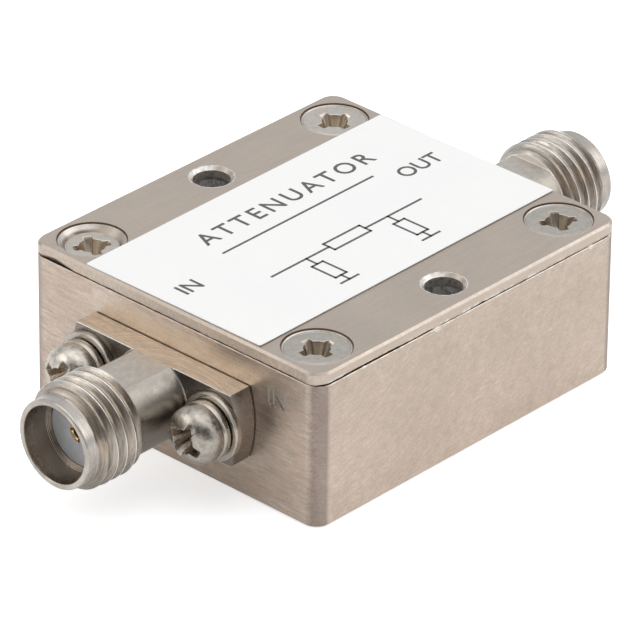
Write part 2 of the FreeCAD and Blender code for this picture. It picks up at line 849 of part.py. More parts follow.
pieces = [makeHousing(), makeCover(), makeLabel()]
for name, x, y in coverScrewSpots:
    sink = size("deepScrewSink") if name == "in_left" else size("coverScrewSink")
    pieces.append(makeCoverScrew(name, x, y, sink))
for end in ends:
    pieces += [makeJackShell(end), makeDielectric(end), makeContact(end)]
    for side in sides:
        pieces += makeFlangeFasteners(end, side)
pieces.append(makeBoard())
chipReach = stripWidth / 2 + size("groundPadGap") / 2
for end in ends:
    pieces += [makeStrip(end), makeGroundPad(end), makeSolderJoint(end)]
    shunt = "input_shunt_resistor" if end == "in" else "output_shunt_resistor"
    pieces.append(makeChip(shunt, ends[end][0] * size("shuntPosition"), chipReach, True))
pieces.append(makeChip("series_resistor", asSize(0), asSize(0), False))
for name, x, y in boardScrewSpots:
    pieces.append(makeBoardScrew(name, x, y))
doc.recompute()

# Checks, then one STEP file for each piece

for item in doc.Objects:
    if "Invalid" in item.State or "Error" in item.State:
        raise RuntimeError(f"{item.Name} did not build: {item.State}")
for body in pieces:
    if body.Shape.isNull() or not body.Shape.isValid() or not body.Shape.Solids:
        raise RuntimeError(f"{body.Label} has no valid solid")

os.makedirs("parts", exist_ok=True)
for body in pieces:
    body.Shape.exportStep(f"parts/{body.Label}.step")
    print(f"{body.Label}: {len(body.Shape.Solids)} solid, {body.Shape.Volume:.2f} mm3")
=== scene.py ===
import math

import bmesh
import bpy
from mathutils import Matrix, Vector, noise


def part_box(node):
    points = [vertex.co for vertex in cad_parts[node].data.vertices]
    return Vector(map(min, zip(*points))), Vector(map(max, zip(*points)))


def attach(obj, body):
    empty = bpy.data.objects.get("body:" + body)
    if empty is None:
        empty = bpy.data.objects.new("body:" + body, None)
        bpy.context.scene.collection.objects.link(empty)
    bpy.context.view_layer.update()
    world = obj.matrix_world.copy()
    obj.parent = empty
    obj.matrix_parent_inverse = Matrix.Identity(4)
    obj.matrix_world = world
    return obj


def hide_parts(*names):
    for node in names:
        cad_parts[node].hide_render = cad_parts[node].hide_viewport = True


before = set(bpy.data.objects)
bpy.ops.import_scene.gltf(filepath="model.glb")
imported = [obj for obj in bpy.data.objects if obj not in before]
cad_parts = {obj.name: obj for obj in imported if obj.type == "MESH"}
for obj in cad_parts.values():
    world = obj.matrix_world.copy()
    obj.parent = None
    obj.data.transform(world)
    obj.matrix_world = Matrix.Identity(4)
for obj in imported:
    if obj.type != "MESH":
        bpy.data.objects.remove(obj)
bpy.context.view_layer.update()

# A small coaxial attenuator module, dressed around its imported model.
# Shapes are drawn in millimetres and brought to metres when a piece is finished.
# X runs from the input end to the output end, Z is up, and the base is at Z = 0.

mm = 0.001
print("frame loaded with", len(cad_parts), "nodes")

# Places that the shapes and the finishes share
housingLow, housingHigh = (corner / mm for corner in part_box("housing"))
coverLow, coverHigh = (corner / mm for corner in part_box("cover"))
endOfHousing = housingHigh.x
coverTop = coverHigh.z
portHeight = 4.95
flangeThickness = 1.55
flangeScrewY = 4.8
threadStart = 5.15               # out from the end wall
coverScrewPlace = (10.0, 8.65)
mountHolePlace = (0.0, 8.95)
inset = 0.004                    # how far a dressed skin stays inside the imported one


# Materials

def mathWith(operation, reflected=False):
    def apply(self, other):
        first, second = (other, self) if reflected else (self, other)
        return self.sheet.add("Math", {"operation": operation}, {0: first, 1: second})
    return apply


class Socket:
    # One output of a node. Arithmetic on it adds Math nodes.
    def __init__(self, sheet, plug):
        self.sheet = sheet
        self.plug = plug

    __add__ = mathWith("ADD")
    __radd__ = mathWith("ADD", reflected=True)
    __sub__ = mathWith("SUBTRACT")
    __rsub__ = mathWith("SUBTRACT", reflected=True)
    __mul__ = mathWith("MULTIPLY")
    __rmul__ = mathWith("MULTIPLY", reflected=True)
    __truediv__ = mathWith("DIVIDE")
    __gt__ = mathWith("GREATER_THAN")
    __lt__ = mathWith("LESS_THAN")


class Sheet:
    # The node tree of a material or of the world. Sizes and places are in millimetres.
    def __init__(self, owner):
        owner.use_nodes = True
        self.owner = owner
        self.tree = owner.node_tree
        self.tree.nodes.clear()

    def add(self, kind, settings=None, values=None, output=0):
        node = self.tree.nodes.new("ShaderNode" + kind)
        for key, setting in (settings or {}).items():
            setattr(node, key, setting)
        for key, value in (values or {}).items():
            self.feed(node.inputs[key], value)
        return Socket(self, node.outputs[output]) if node.outputs else node

    def feed(self, entry, value):
        if isinstance(value, Socket):
            self.tree.links.new(value.plug, entry)
        elif isinstance(value, tuple) and len(value) == 3 and entry.type == "RGBA":
            entry.default_value = (*value, 1.0)
        else:
            entry.default_value = value

    def split(self, vector, axis):
        return self.add("SeparateXYZ", {}, {0: vector}, output="XYZ".index(axis))

    def at(self, axis):
        # the place along an axis
        return self.split(self.add("TexCoord", output="Object"), axis) / mm

    def facing(self, axis):
        # how far the surface faces along an axis, from -1 to 1
        return self.split(self.add("TexCoord", output="Normal"), axis)

    def size(self, value):
        return self.add("Math", {"operation": "ABSOLUTE"}, {0: value})

    def away(self, x, y, z, centre):
        # the distance of a point from a centre
        point = self.add("CombineXYZ", {}, {0: x, 1: y, 2: z})
        return self.add("VectorMath", {"operation": "DISTANCE"}, {0: point, 1: centre}, output="Value")

    def edgeBand(self):
        # 1 on the broken edges between a level and an upright face
        tilt = self.size(self.split(self.add("NewGeometry", output="True Normal"), "Z"))
        return self.level(tilt, 0.12, 0.25) * self.level(tilt, 0.99, 0.96)

    def grain(self, size, detail=2.0, roughness=0.5, stretch=None, turn=0.0):
        # noise with detail of this size, drawn out along an axis whose stretch is below 1
        vector = self.add("TexCoord", output="Object")
        if turn:
            vector = self.add("Mapping", {}, {"Vector": vector, "Rotation": (0.0, math.radians(turn), 0.0)})
        if stretch:
            vector = self.add("VectorMath", {"operation": "MULTIPLY"}, {0: vector, 1: stretch})
        values = {"Vector": vector, "Scale": 1.0 / (size * mm), "Detail": detail, "Roughness": roughness}
        return self.add("TexNoise", {}, values)

    def arcs(self, centre, size):
        # rings of uneven width round a centre, as a mill leaves them
        reach = self.away(self.at("X"), self.at("Y"), self.at("Z"), centre)
        values = {"W": reach, "Scale": 1.0 / size, "Detail": 1.0}
        return self.add("TexNoise", {"noise_dimensions": "1D"}, values)

    def level(self, value, low, high, outLow=0.0, outHigh=1.0):
        values = {0: value, 1: low, 2: high, 3: outLow, 4: outHigh}
        return self.add("MapRange", {"clamp": True}, values)

    def vary(self, pattern, low, high, edge=0.3):
        return self.level(pattern, edge, 1.0 - edge, low, high)

    def within(self, value, low, high):
        return (value > low) * (value < high)

    def blend(self, share, first, second, how="MIX"):
        settings = {"data_type": "RGBA", "blend_type": how, "clamp_factor": True}
        return self.add("Mix", settings, {0: share, 6: first, 7: second}, output=2)

    def tint(self, tone, factor):
        return self.blend(1.0, tone, factor, "MULTIPLY")

    def shade(self, tone, pattern, low, high, edge=0.3):
        return self.tint(tone, self.vary(pattern, low, high, edge))

    def lay(self, tone, look, *coats):
        # colours of a look over a tone, each where its mask is 1
        for mask, colour in coats:
            tone = self.blend(mask, tone, look[colour])
        return tone

    def relief(self, *layers):
        # bumps of (pattern, depth, strength), one over another
        bump = None
        for pattern, depth, strength in layers:
            values = {"Height": pattern, "Distance": depth * mm, "Strength": strength}
            if bump is not None:
                values["Normal"] = bump
            bump = self.add("Bump", {}, values)
        return bump

    def finish(self, **surface):
        names = {
            "colour": "Base Color", "metal": "Metallic", "rough": "Roughness", "normal": "Normal",
            "specular": "Specular IOR Level", "scatter": "Subsurface Weight",
            "scatterScale": "Subsurface Scale",
        }
        shader = self.add("BsdfPrincipled", {}, {names[key]: value for key, value in surface.items()})
        self.add("OutputMaterial", {}, {"Surface": shader})
        return self.owner


def newSheet(name):
    return Sheet(bpy.data.materials.new(name))


# The milled housing: matt nickel plate over brushed and bead-finished faces.
housingLook = {
    "longFace": (0.61, 0.51, 0.43),
    "endFace": (0.61, 0.505, 0.425),
    # dirt in the pits, and painted shade under the cover
    "dirtAndGapShade": (0.27, 0.205, 0.155),
    # bare metal of worn edges, partly a painted highlight
    "bright": (0.86, 0.80, 0.73),
    "letters": (0.50, 0.50, 0.47),
    # painted reflection of the flanges' tops
    "flangeReflection": (0.69, 0.60, 0.485),
    "stain": (0.60, 0.46, 0.365),
    # painted shade on the round corners
    "corner": (0.58, 0.565, 0.585),
    # painted shade on the end faces' top and bottom edges
    "endRimShade": (0.33, 0.27, 0.225),
    # partly painted shade deep in the holes
    "boreDark": (0.16, 0.155, 0.15),
    "boreLight": (0.80, 0.79, 0.78),
    "rough": 0.36,
}


def makeHousingFinish():
    look = housingLook
    sheet = newSheet("platedHousing")
    along, across, upright = sheet.size(sheet.at("X")), sheet.at("Y"), sheet.at("Z")
    endward, sideways = sheet.size(sheet.facing("X")), sheet.size(sheet.facing("Y"))
    towardEnd = sheet.level(endward, 0.55, 0.8)
    # streaks that climb a little on the long faces and level ones on the end faces
    climbing = sheet.grain(0.11, 3.0, 0.65, (0.16, 1.0, 1.0), turn=7.0)
    lying = sheet.grain(0.085, 3.0, 0.65, (1.0, 0.07, 1.0))
    # fine grit, with faint arcs left by the end mill on the long faces
    grit = sheet.grain(0.085, 4.0, 0.7)
    arcs = sheet.arcs((-endOfHousing, -19.0, 13.0), 0.16)
    speckled = sheet.blend(towardEnd, sheet.blend(0.7, arcs, grit), grit)
    lines = sheet.blend(0.42 - towardEnd * 0.12, sheet.blend(towardEnd, climbing, lying), speckled)
    tone = sheet.blend(towardEnd, look["longFace"], look["endFace"])
    tone = sheet.shade(tone, lines, 0.80 - towardEnd * 0.06, 1.14 + towardEnd * 0.05)
    tone = sheet.shade(tone, grit, 0.90, 1.08, 0.25)
    tone = sheet.shade(tone, sheet.grain(0.7, 5.0, 0.65), 0.93, 1.065)
    tone = sheet.shade(tone, sheet.grain(3.2, 3.0, 0.55), 0.95, 1.05)
    scrape = sheet.vary(sheet.grain(0.26, 5.0, 0.75, (1.0, 0.16, 1.0)), 0.86, 1.12, 0.34)
    tone = sheet.tint(tone, sheet.blend(towardEnd, (1.0, 1.0, 1.0), scrape))
    stain = sheet.level(sheet.grain(1.1, 4.0, 0.6, (1.0, 0.6, 1.0)), 0.48, 0.68)
    tone = sheet.lay(tone, look, (stain * (0.12 + towardEnd * 0.42), "stain"))
    # painted shade: the round corners are darker, toning down their highlight
    corner = sheet.level(sideways, 0.05, 0.46) * sheet.level(endward, 0.06, 0.28)
    tone = sheet.blend(corner, tone, sheet.tint(tone, look["corner"]))
    pits = sheet.level(sheet.grain(0.32, 4.0, 0.7), 0.66, 0.74)
    tone = sheet.lay(tone, look, (pits * 0.28, "dirtAndGapShade"))
    # painted light: the long faces are paler toward the base, lifting the darker floor they reflect there
    tone = sheet.tint(tone, sheet.level(upright, 0.3, 6.5, 1.17, 1.01) * (1.0 - towardEnd) + towardEnd)
    # bare metal in the cut letters; a painted reflection of the flanges' tops in a yellower band just above
    # them; painted shade on the housing's top under the cover, seen through the seam
    letters = sheet.within(along, endOfHousing - 0.2, endOfHousing - 0.008)
    letters = letters * sheet.within(across, -9.0, -6.9) * sheet.within(upright, 6.3, 8.1)
    flangeReflection = towardEnd * sheet.level(upright, 7.15, 7.35) * sheet.level(upright, 8.75, 8.55)
    flangeReflection = flangeReflection * sheet.level(sheet.size(across), 6.4, 6.0) * sheet.level(grit, 0.35, 0.6, 0.25, 1.0)
    underCoverShade = (upright > 8.97) * (sheet.facing("Z") > 0.7)
    tone = sheet.lay(tone, look, (letters * 0.85, "letters"), (flangeReflection * 0.65, "flangeReflection"), (underCoverShade, "dirtAndGapShade"))
    # torn bare metal in the mounting holes; its dark streaks are partly painted shade
    inHole = sheet.away(along, sheet.size(across), 0.0, (*mountHolePlace, 0.0)) < 1.14
    torn = sheet.level(sheet.grain(0.28, 4.0, 0.7, (1.0, 1.0, 0.5)), 0.32, 0.56)
    tone = sheet.blend(inHole, tone, sheet.blend(torn, look["boreDark"], look["boreLight"]))
    # painted shade along the top and bottom edges of the end faces; bare metal along worn edges, partly a
    # painted highlight
    endRimShade = sheet.edgeBand() * sheet.level(sideways, 0.5, 0.25) * (sheet.size(upright - 4.5) > 4.2)
    wearAndSheen = sheet.edgeBand() * sheet.level(sheet.grain(0.5, 3.0), 0.35, 0.6) * (1.0 - towardEnd * 0.9)
    tone = sheet.lay(tone, look, (endRimShade * 0.85, "endRimShade"), (wearAndSheen * 0.7, "bright"))
    rough = sheet.vary(lines, look["rough"] - 0.05, look["rough"] + 0.08) + inHole * 0.25
    bump = sheet.relief((lines, 0.006, 0.9), (grit, 0.004, 0.8))
    return sheet.finish(colour=tone, metal=1.0, rough=rough, normal=bump)


# The cover: the same plate, smoother and greyer on top, where the darker tone is partly painted shade.
coverLook = {
    # the darker top is partly painted shade
    "top": (0.555, 0.475, 0.405),
    "side": (0.60, 0.51, 0.43),
    # bare metal, on burrs and worn edges partly a painted highlight
    "bare": (0.88, 0.86, 0.83),
    # painted shade: the next three tones, in the seam, the grooves and countersinks, and on the end edges
    "dark": (0.20, 0.155, 0.115),
    "groove": (0.30, 0.245, 0.20),
    "endEdgeShade": (0.44, 0.38, 0.325),
    "seat": (0.74, 0.70, 0.66),
    "rough": 0.34,
}


def makeCoverFinish():
    look = coverLook
    sheet = newSheet("platedCover")
    along, across = sheet.at("X"), sheet.at("Y")
    height = sheet.at("Z") - coverLow.z
    upward = sheet.level(sheet.facing("Z"), 0.5, 0.9)
    sideways = sheet.size(sheet.facing("Y"))
    onLongSide = sheet.level(sideways, 0.3, 0.6)
    grit = sheet.grain(0.12, 3.0, 0.6)
    brush = sheet.grain(0.14, 2.0, 0.6, (0.05, 1.0, 0.4))
    cloud = sheet.grain(4.0)
    # the darker top is partly painted shade
    tone = sheet.blend(upward, look["side"], look["top"])
    tone = sheet.shade(tone, brush, 0.95, 1.045)
    tone = sheet.shade(tone, grit, 0.95, 1.05, 0.25)
    tone = sheet.shade(tone, cloud, 0.97, 1.03)
    # bare metal round the mounting holes, pressed seats round the screws, and painted shade in the grooves
    # round them and deep in the countersinks
    fromHole = sheet.away(along, sheet.size(across), 0.0, (*mountHolePlace, 0.0))
    bare = sheet.level(fromHole, 1.38, 1.33) * sheet.level(sheet.grain(0.3, 3.0), 0.36, 0.56, 0.1, 1.0)
    toScrew = sheet.away(sheet.size(along), sheet.size(across), 0.0, (*coverScrewPlace, 0.0))
    seat = (toScrew < 1.98) * sheet.level(sheet.grain(0.35, 3.0), 0.3, 0.55, 0.3, 0.85)
    groove = sheet.within(toScrew, 1.976, 2.034) * (height < 0.79)
    sunkShade = (toScrew < 2.0) * sheet.level(height, 0.56, 0.46)
    # bright burrs along the seam and bare worn edges, partly painted highlights; painted shade low on the
    # sides along the seam and on the edges at the ends
    torn = sheet.level(sheet.grain(0.9, 4.0, 0.7, (1.0, 1.0, 0.3)), 0.50, 0.57)
    burr = sheet.level(height, 0.30, 0.16) * (1.0 - upward) * torn * sheet.level(sideways, 0.5, 0.9)
    seamShade = (1.0 - upward) * sheet.level(height, 0.24, 0.04) * sheet.level(cloud, 0.35, 0.6)
    wearAndSheen = sheet.edgeBand() * sheet.level(sheet.grain(0.4, 3.0), 0.45, 0.7) * onLongSide
    tone = sheet.lay(
        tone, look, (bare, "bare"), (seat, "seat"), (groove, "groove"), (sunkShade, "dark"),
        (burr * 0.75, "bare"), (seamShade * 0.5, "dark"), (wearAndSheen * 0.25, "bare"),
        (sheet.edgeBand() * (1.0 - onLongSide), "endEdgeShade"),
    )
    # painted light: the input end of the plate is paler, less so near the corner, lifting a darker
    # reflection there; it is also rougher
    atInput = (1.0 - onLongSide) * (1.0 - upward) * (along < 0.0)
    pale = sheet.level(across, -1.5, -5.0, 1.0, 1.26) * sheet.level(across, -7.5, -10.0, 1.0, 0.8)
    coarse = sheet.vary(sheet.grain(0.2, 4.0, 0.7), 0.86, 1.12)
    tone = sheet.blend(atInput, tone, sheet.tint(tone, pale * coarse))
    rough = sheet.vary(brush, look["rough"] - 0.03, look["rough"] + 0.06) + atInput * 0.12
    bump = sheet.relief((brush, 0.003, 0.6), (grit, 0.003, 0.6))
    return sheet.finish(colour=tone, metal=1.0, rough=rough, normal=bump)


# Turned stainless steel of the jacks: fine rings round the X axis.
jackLook = {
    "tone": (0.55, 0.505, 0.46),
    # the barrel's tone is darkened as painted shade
    "barrel": (0.445, 0.405, 0.36),
    "barrelFlat": (0.57, 0.53, 0.48),
    "milled": (0.62, 0.535, 0.455),
    # a burnished edge and a painted highlight
    "burnishAndHighlight": (0.97, 0.95, 0.92),
    # painted shade on the flange's edge and front
    "flangeSideShade": (0.25, 0.222, 0.198),
    "stain": (0.42, 0.335, 0.25),
    # painted light on the step behind the thread
    "wall": (0.97, 0.94, 0.90),
    # painted shade on the undersides
    "below": (0.34, 0.305, 0.275),
    # dark specks on the flats, and grime and painted shade in the thread's valleys
    "valley": (0.35, 0.295, 0.24),
    # worn crests, partly a painted highlight
    "crest": (0.95, 0.92, 0.88),
    # painted shade inside the mouth
    "bore": (0.41, 0.35, 0.295),
    # turned lines, partly painted highlights
    "boreRing": (1.0, 0.96, 0.91),
    "rough": 0.25,
}


def makeJackFinish():
    look = jackLook
    sheet = newSheet("turnedSteel")
    face, root = flangeThickness, threadStart
    out = sheet.size(sheet.at("X")) - endOfHousing
    fromMiddle = sheet.size(sheet.at("Z") - portHeight)
    radial = sheet.away(0.0, sheet.at("Y"), sheet.at("Z"), (0.0, 0.0, portHeight))
    upward = sheet.facing("Z")
    rings = sheet.grain(0.06, 2.0, 0.6, (1.0, 0.05, 0.05))
    turned = sheet.grain(0.13, 4.0, 0.85, (1.0, 0.06, 0.06))
    grit = sheet.grain(0.09, 3.0, 0.6)
    cloud = sheet.grain(0.8, 3.0, 0.6)
    # masks of the parts of a jack
    flat = sheet.level(fromMiddle, 2.262, 2.266) * sheet.level(out, root + 0.02, root)
    onFlange = sheet.level(out, face + 0.02, face)
    onBarrel = sheet.level(out, face + 0.02, face + 0.06) * sheet.level(out, root + 0.1, root)
    onThread = sheet.level(out, root, root + 0.15) * sheet.level(out, 8.55, 8.45)
    front = sheet.within(out, face - 0.02, face + 0.01) * (radial > 2.8) * (1.0 - flat)
    rim = sheet.within(out, face - 0.05, face + 0.02) * sheet.level(fromMiddle, 2.225, 2.235) * (1.0 - flat)
    wall = sheet.within(out, root - 0.05, root + 0.02) * sheet.within(radial, 2.2, 2.75)
    inside = sheet.level(out, 7.41, 7.45) * sheet.level(radial, 2.40, 2.33)
    ledge = sheet.within(radial, 2.05, 2.4) * sheet.level(out, 7.65, 7.61) * sheet.level(out, 7.25, 7.35)
    # plain turned steel, then painted shade on the flange's edge and front, and on the barrel, darkened to
    # tone down its highlight, with lighter flats
    tone = sheet.blend(sheet.level(cloud, 0.35, 0.75), look["tone"], tuple(v * 0.86 for v in look["tone"]))
    tone = sheet.shade(tone, rings, 0.80, 1.16)
    tone = sheet.shade(tone, grit, 0.96, 1.04, 0.25)
    flangeSideShade = sheet.level(onFlange * (1.0 - flat) + front, 0.0, 1.0)
    tone = sheet.lay(
        tone, look, (flangeSideShade * 0.9, "flangeSideShade"), (onBarrel, "barrel"), (onBarrel * flat, "barrelFlat"),
    )
    dull = sheet.vary(sheet.grain(0.45, 5.0, 0.72), 0.84, 1.13)
    tone = sheet.blend(onBarrel, tone, sheet.tint(tone, dull))
    # painted shade on the undersides of the barrel and the thread
    tone = sheet.lay(
        tone, look, (onBarrel * sheet.level(upward, 0.5, 0.05), "below"),
        (onThread * sheet.level(upward, 0.2, -0.4) * 0.72, "below"),
    )
    # the flats are milled, with streaks and faint arcs
    milled = sheet.shade(look["milled"], sheet.grain(0.12, 3.0, 0.6, (1.0, 0.06, 1.0)), 0.82, 1.14)
    speckle = sheet.level(sheet.grain(0.25, 5.0, 0.8), 0.48, 0.68)
    milled = sheet.lay(milled, look, (speckle * 0.45, "valley"))
    milled = sheet.shade(milled, sheet.arcs((-18.5, -3.0, 7.2), 0.15), 0.90, 1.08)
    tone = sheet.blend(flat * sheet.level(out, face + 0.1, face - 0.02), tone, milled)
    # bright front edge, burnished and a painted highlight; darker thread valleys, partly grime and partly
    # painted shade; a brownish patch on the thread's flanks that face up and toward -Y
    burnishAndHighlight = rim * (sheet.size(sheet.at("Y")) > 1.45)
    patchy = sheet.level(cloud, 0.25, 0.7, 1.0, 0.65) * sheet.level(sheet.at("X"), -10.0, 10.0, 1.0, 0.3)
    valley = onThread * sheet.level(radial, 3.13, 2.95) * patchy
    brownFlankPatch = sheet.level(sheet.facing("Y"), -0.15, -0.5) * sheet.level(upward, -0.1, 0.2) * onThread
    brownFlankPatch = brownFlankPatch * sheet.level(sheet.grain(0.5, 4.0, 0.7, (1.0, 0.3, 0.3)), 0.38, 0.6)
    tone = sheet.lay(
        tone, look, (burnishAndHighlight, "burnishAndHighlight"), (valley * 0.85, "valley"), (brownFlankPatch * 0.8, "stain"),
    )
    tone = sheet.blend(onThread, tone, sheet.tint(tone, sheet.vary(turned, 0.60, 1.28, 0.36)))
    # bright worn crests, partly a painted highlight; painted light on the step at the rear of the thread,
    # where its shadow falls; painted shade inside the mouth; bright turned lines on the step in front of the
    # dielectric, partly painted highlights
    crest = onThread * sheet.level(radial, 3.148, 3.160)
    lines = sheet.level(sheet.size(sheet.size(out - 7.52) - 0.06), 0.035, 0.015)
    tone = sheet.lay(
        tone, look, (crest * 0.9, "crest"), (wall, "wall"), (inside * 0.85, "bore"),
        (ledge * lines, "boreRing"),
    )
    rough = sheet.vary(cloud, look["rough"] - 0.05, look["rough"] + 0.09)
    rough = rough + flat * 0.12 + onBarrel * 0.06 + onThread * 0.05 + wall * 0.4
    bump = sheet.relief(
        (rings * (0.35 + onThread), 0.009, 0.8), (turned * onThread, 0.022, 0.8), (grit, 0.002, 0.6),
    )
    return sheet.finish(colour=tone, metal=1.0, rough=rough, normal=bump)


# Screws and washers: bright nickel with a mottled, slightly tumbled skin.
hardwareLooks = {
    "flatScrew": {
        "tone": (0.545, 0.505, 0.455), "recess": (0.55, 0.485, 0.41),
        "rough": 0.30, "mottle": 0.10, "bump": 0.004,
    },
    "panScrew": {
        # the cross tone is painted light in the recess
        "tone": (0.485, 0.445, 0.395), "cross": (0.61, 0.545, 0.465),
        "rough": 0.27, "mottle": 0.36, "bump": 0.022,
    },
    "washer": {"tone": (0.50, 0.455, 0.40), "rough": 0.20, "mottle": 0.08, "bump": 0.0015},
}


def makeHardwareFinish(name):
    look = hardwareLooks[name]
    sheet = newSheet(name + "Nickel")
    across = sheet.at("Y")
    mottle = sheet.grain(0.30, 4.0, 0.6)
    grit = sheet.grain(0.08, 2.0, 0.6)
    tone = look["tone"]
    if "recess" in look:
        tone = sheet.blend(sheet.level(sheet.facing("Z"), 0.75, 0.95), look["recess"], tone)
        # painted light: the screws on the +Y side are lighter
        tone = sheet.tint(tone, sheet.level(across, -5.0, 5.0, 0.97, 1.16))
    if "cross" in look:
        # painted light: the cross recess is lighter than the head, lifting its shade
        offAxis = sheet.away(0.0, sheet.size(across), sheet.at("Z"), (0.0, flangeScrewY, portHeight))
        inCross = (offAxis < 1.3) * sheet.level(sheet.size(sheet.facing("X")), 0.5, 0.3)
        tone = sheet.blend(inCross, tone, look["cross"])
        # painted light: the screws on the +Y side are lighter
        tone = sheet.tint(tone, sheet.level(across, -4.0, 4.0, 1.0, 1.28))
    tone = sheet.shade(tone, mottle, 1.0 - look["mottle"], 1.0 + look["mottle"] * 0.5)
    tone = sheet.shade(tone, grit, 0.94, 1.05, 0.25)
    rough = sheet.vary(mottle, look["rough"] - 0.05, look["rough"] + 0.10)
    bump = sheet.relief((mottle, look["bump"], 0.8), (grit, 0.002, 0.6))
    return sheet.finish(colour=tone, metal=1.0, rough=rough, normal=bump)


def makeLabelFinish():
    sheet = newSheet("whiteFilm")
    fibre = sheet.grain(0.18, 3.0, 0.6)
    cloud = sheet.grain(4.0)
    tone = sheet.blend(sheet.vary(cloud, 0.0, 1.0), (0.945, 0.935, 0.92), (0.925, 0.92, 0.91))
    tone = sheet.shade(tone, fibre, 0.985, 1.01, 0.25)
    # the film's side faces are darker on the long sides than at the ends, partly painted shade
    onLongSide = sheet.level(sheet.size(sheet.facing("Y")), 0.3, 0.7)
    edge = sheet.blend(onLongSide, (0.74, 0.71, 0.68), (0.34, 0.31, 0.28))
    tone = sheet.blend(sheet.level(sheet.facing("Z"), 0.5, 0.8), edge, tone)
    rough = sheet.vary(fibre, 0.42, 0.52)
    bump = sheet.relief((cloud, 0.02, 0.5), (fibre, 0.002, 0.5))
    return sheet.finish(colour=tone, rough=rough, normal=bump, specular=0.4)


def makePrintFinish():
    sheet = newSheet("printInk")
    speckle = sheet.grain(0.07, 3.0, 0.7)
    tone = sheet.blend(sheet.level(speckle, 0.35, 0.75), (0.085, 0.082, 0.078), (0.15, 0.145, 0.14))
    return sheet.finish(colour=tone, rough=sheet.vary(speckle, 0.5, 0.62))


def makeDielectricFinish():
    sheet = newSheet("paleInsulator")
    rings = sheet.grain(0.14, stretch=(1.0, 0.4, 0.4))
    tone = sheet.blend(sheet.vary(rings, 0.0, 1.0), (0.545, 0.562, 0.585), (0.62, 0.632, 0.65))
    rough = sheet.vary(rings, 0.34, 0.46)
    bump = sheet.relief((rings, 0.004, 0.6))
    return sheet.finish(colour=tone, rough=rough, normal=bump, scatter=0.15, scatterScale=0.6 * mm)


plainLooks = {
    # finish: light tone, dark tone, metal, roughness, detail size
    "contactGold": ((1.0, 0.74, 0.40), (0.92, 0.62, 0.30), 1.0, 0.30, 0.10),
    "stripGold": ((0.93, 0.68, 0.34), (0.80, 0.54, 0.24), 1.0, 0.32, 0.16),
    "boardLaminate": ((0.74, 0.72, 0.66), (0.62, 0.60, 0.54), 0.0, 0.62, 0.22),
    "solderTin": ((0.66, 0.66, 0.65), (0.48, 0.48, 0.47), 1.0, 0.36, 0.14),
    "chipBody": ((0.055, 0.055, 0.06), (0.10, 0.10, 0.105), 0.0, 0.5, 0.12),
}


def makePlainFinish(name):
    light, dark, metal, rough, size = plainLooks[name]
    sheet = newSheet(name)
    cloud = sheet.grain(size, 4.0, 0.6)
    tone = sheet.blend(sheet.vary(cloud, 0.0, 1.0), light, dark)
    roughness = sheet.vary(cloud, rough - 0.06, rough + 0.08)
    bump = sheet.relief((cloud, size * 0.04, 0.6))
    return sheet.finish(colour=tone, metal=metal, rough=roughness, normal=bump)


housingFinish = makeHousingFinish()
coverFinish = makeCoverFinish()
jackFinish = makeJackFinish()
flatScrewFinish = makeHardwareFinish("flatScrew")
panScrewFinish = makeHardwareFinish("panScrew")
washerFinish = makeHardwareFinish("washer")
labelFinish = makeLabelFinish()
printFinish = makePrintFinish()
dielectricFinish = makeDielectricFinish()
plainFinishes = {name: makePlainFinish(name) for name in plainLooks}
print("materials made:", len(bpy.data.materials))


# Mesh tools, in millimetres

class Skin:
    # Points and faces gathered ring by ring.
    def __init__(self):
        self.points = []
        self.faces = []

    def ring(self, points):
        start = len(self.points)
        self.points.extend(Vector(point) for point in points)
        return list(range(start, len(self.points)))

    def bridge(self, first, second):
        count = len(first)
        for index in range(count):
            after = (index + 1) % count
            self.faces.append((first[index], first[after], second[after], second[index]))

    def stack(self, rings):
        made = [self.ring(points) for points in rings]
        for first, second in zip(made, made[1:]):
            self.bridge(first, second)
        return made

    def solid(self, rings):
        # a stack closed at both ends
        made = self.stack(rings)
        self.cap(made[0])
        self.cap(made[-1])

    def fan(self, ring, centre):
        middle = len(self.points)
        self.points.append(Vector(centre))
        for index in range(len(ring)):
            self.faces.append((ring[index], ring[(index + 1) % len(ring)], middle))

    def cap(self, ring):
        self.faces.append(tuple(ring))

    def mesh(self, name):
        mesh = bpy.data.meshes.new(name)
        mesh.from_pydata(self.points, [], self.faces)
        shape = bmesh.new()
        shape.from_mesh(mesh)
        bmesh.ops.recalc_face_normals(shape, faces=shape.faces)
        shape.to_mesh(mesh)
        shape.free()
        return mesh


def addObject(name, mesh):
    thing = bpy.data.objects.new(name, mesh)
    bpy.context.scene.collection.objects.link(thing)
    return thing


def solidObject(name, rings):
    skin = Skin()
    skin.solid(rings)
    return addObject(name, skin.mesh(name))


def evaluatedMesh(thing):
    bpy.context.view_layer.update()
    graph = bpy.context.evaluated_depsgraph_get()
    return bpy.data.meshes.new_from_object(thing.evaluated_get(graph))


def combine(target, tool, operation):
    change = target.modifiers.new("combine", "BOOLEAN")
    change.operation = operation
    change.solver = "EXACT"
    change.object = tool
    mesh = evaluatedMesh(target)
    target.modifiers.clear()
    target.data = mesh
    bpy.data.objects.remove(tool)


def rejoin(mesh, target, flatten=False):
    # Joins split points, and faces in one plane where asked.
    shape = bmesh.new()
    shape.from_mesh(mesh)
    bmesh.ops.remove_doubles(shape, verts=shape.verts, dist=0.0005)
    if flatten:
        bmesh.ops.dissolve_limit(shape, angle_limit=math.radians(0.2), verts=shape.verts, edges=shape.edges)
    shape.to_mesh(target)
    shape.free()


def copyOfNode(name, node):
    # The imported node's mesh, in millimetres.
    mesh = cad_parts[node].data.copy()
    mesh.transform(Matrix.Scale(1.0 / mm, 4))
    plain = bpy.data.meshes.new(name)
    rejoin(mesh, plain, flatten=True)
    bpy.data.meshes.remove(mesh)
    return addObject(name, plain)


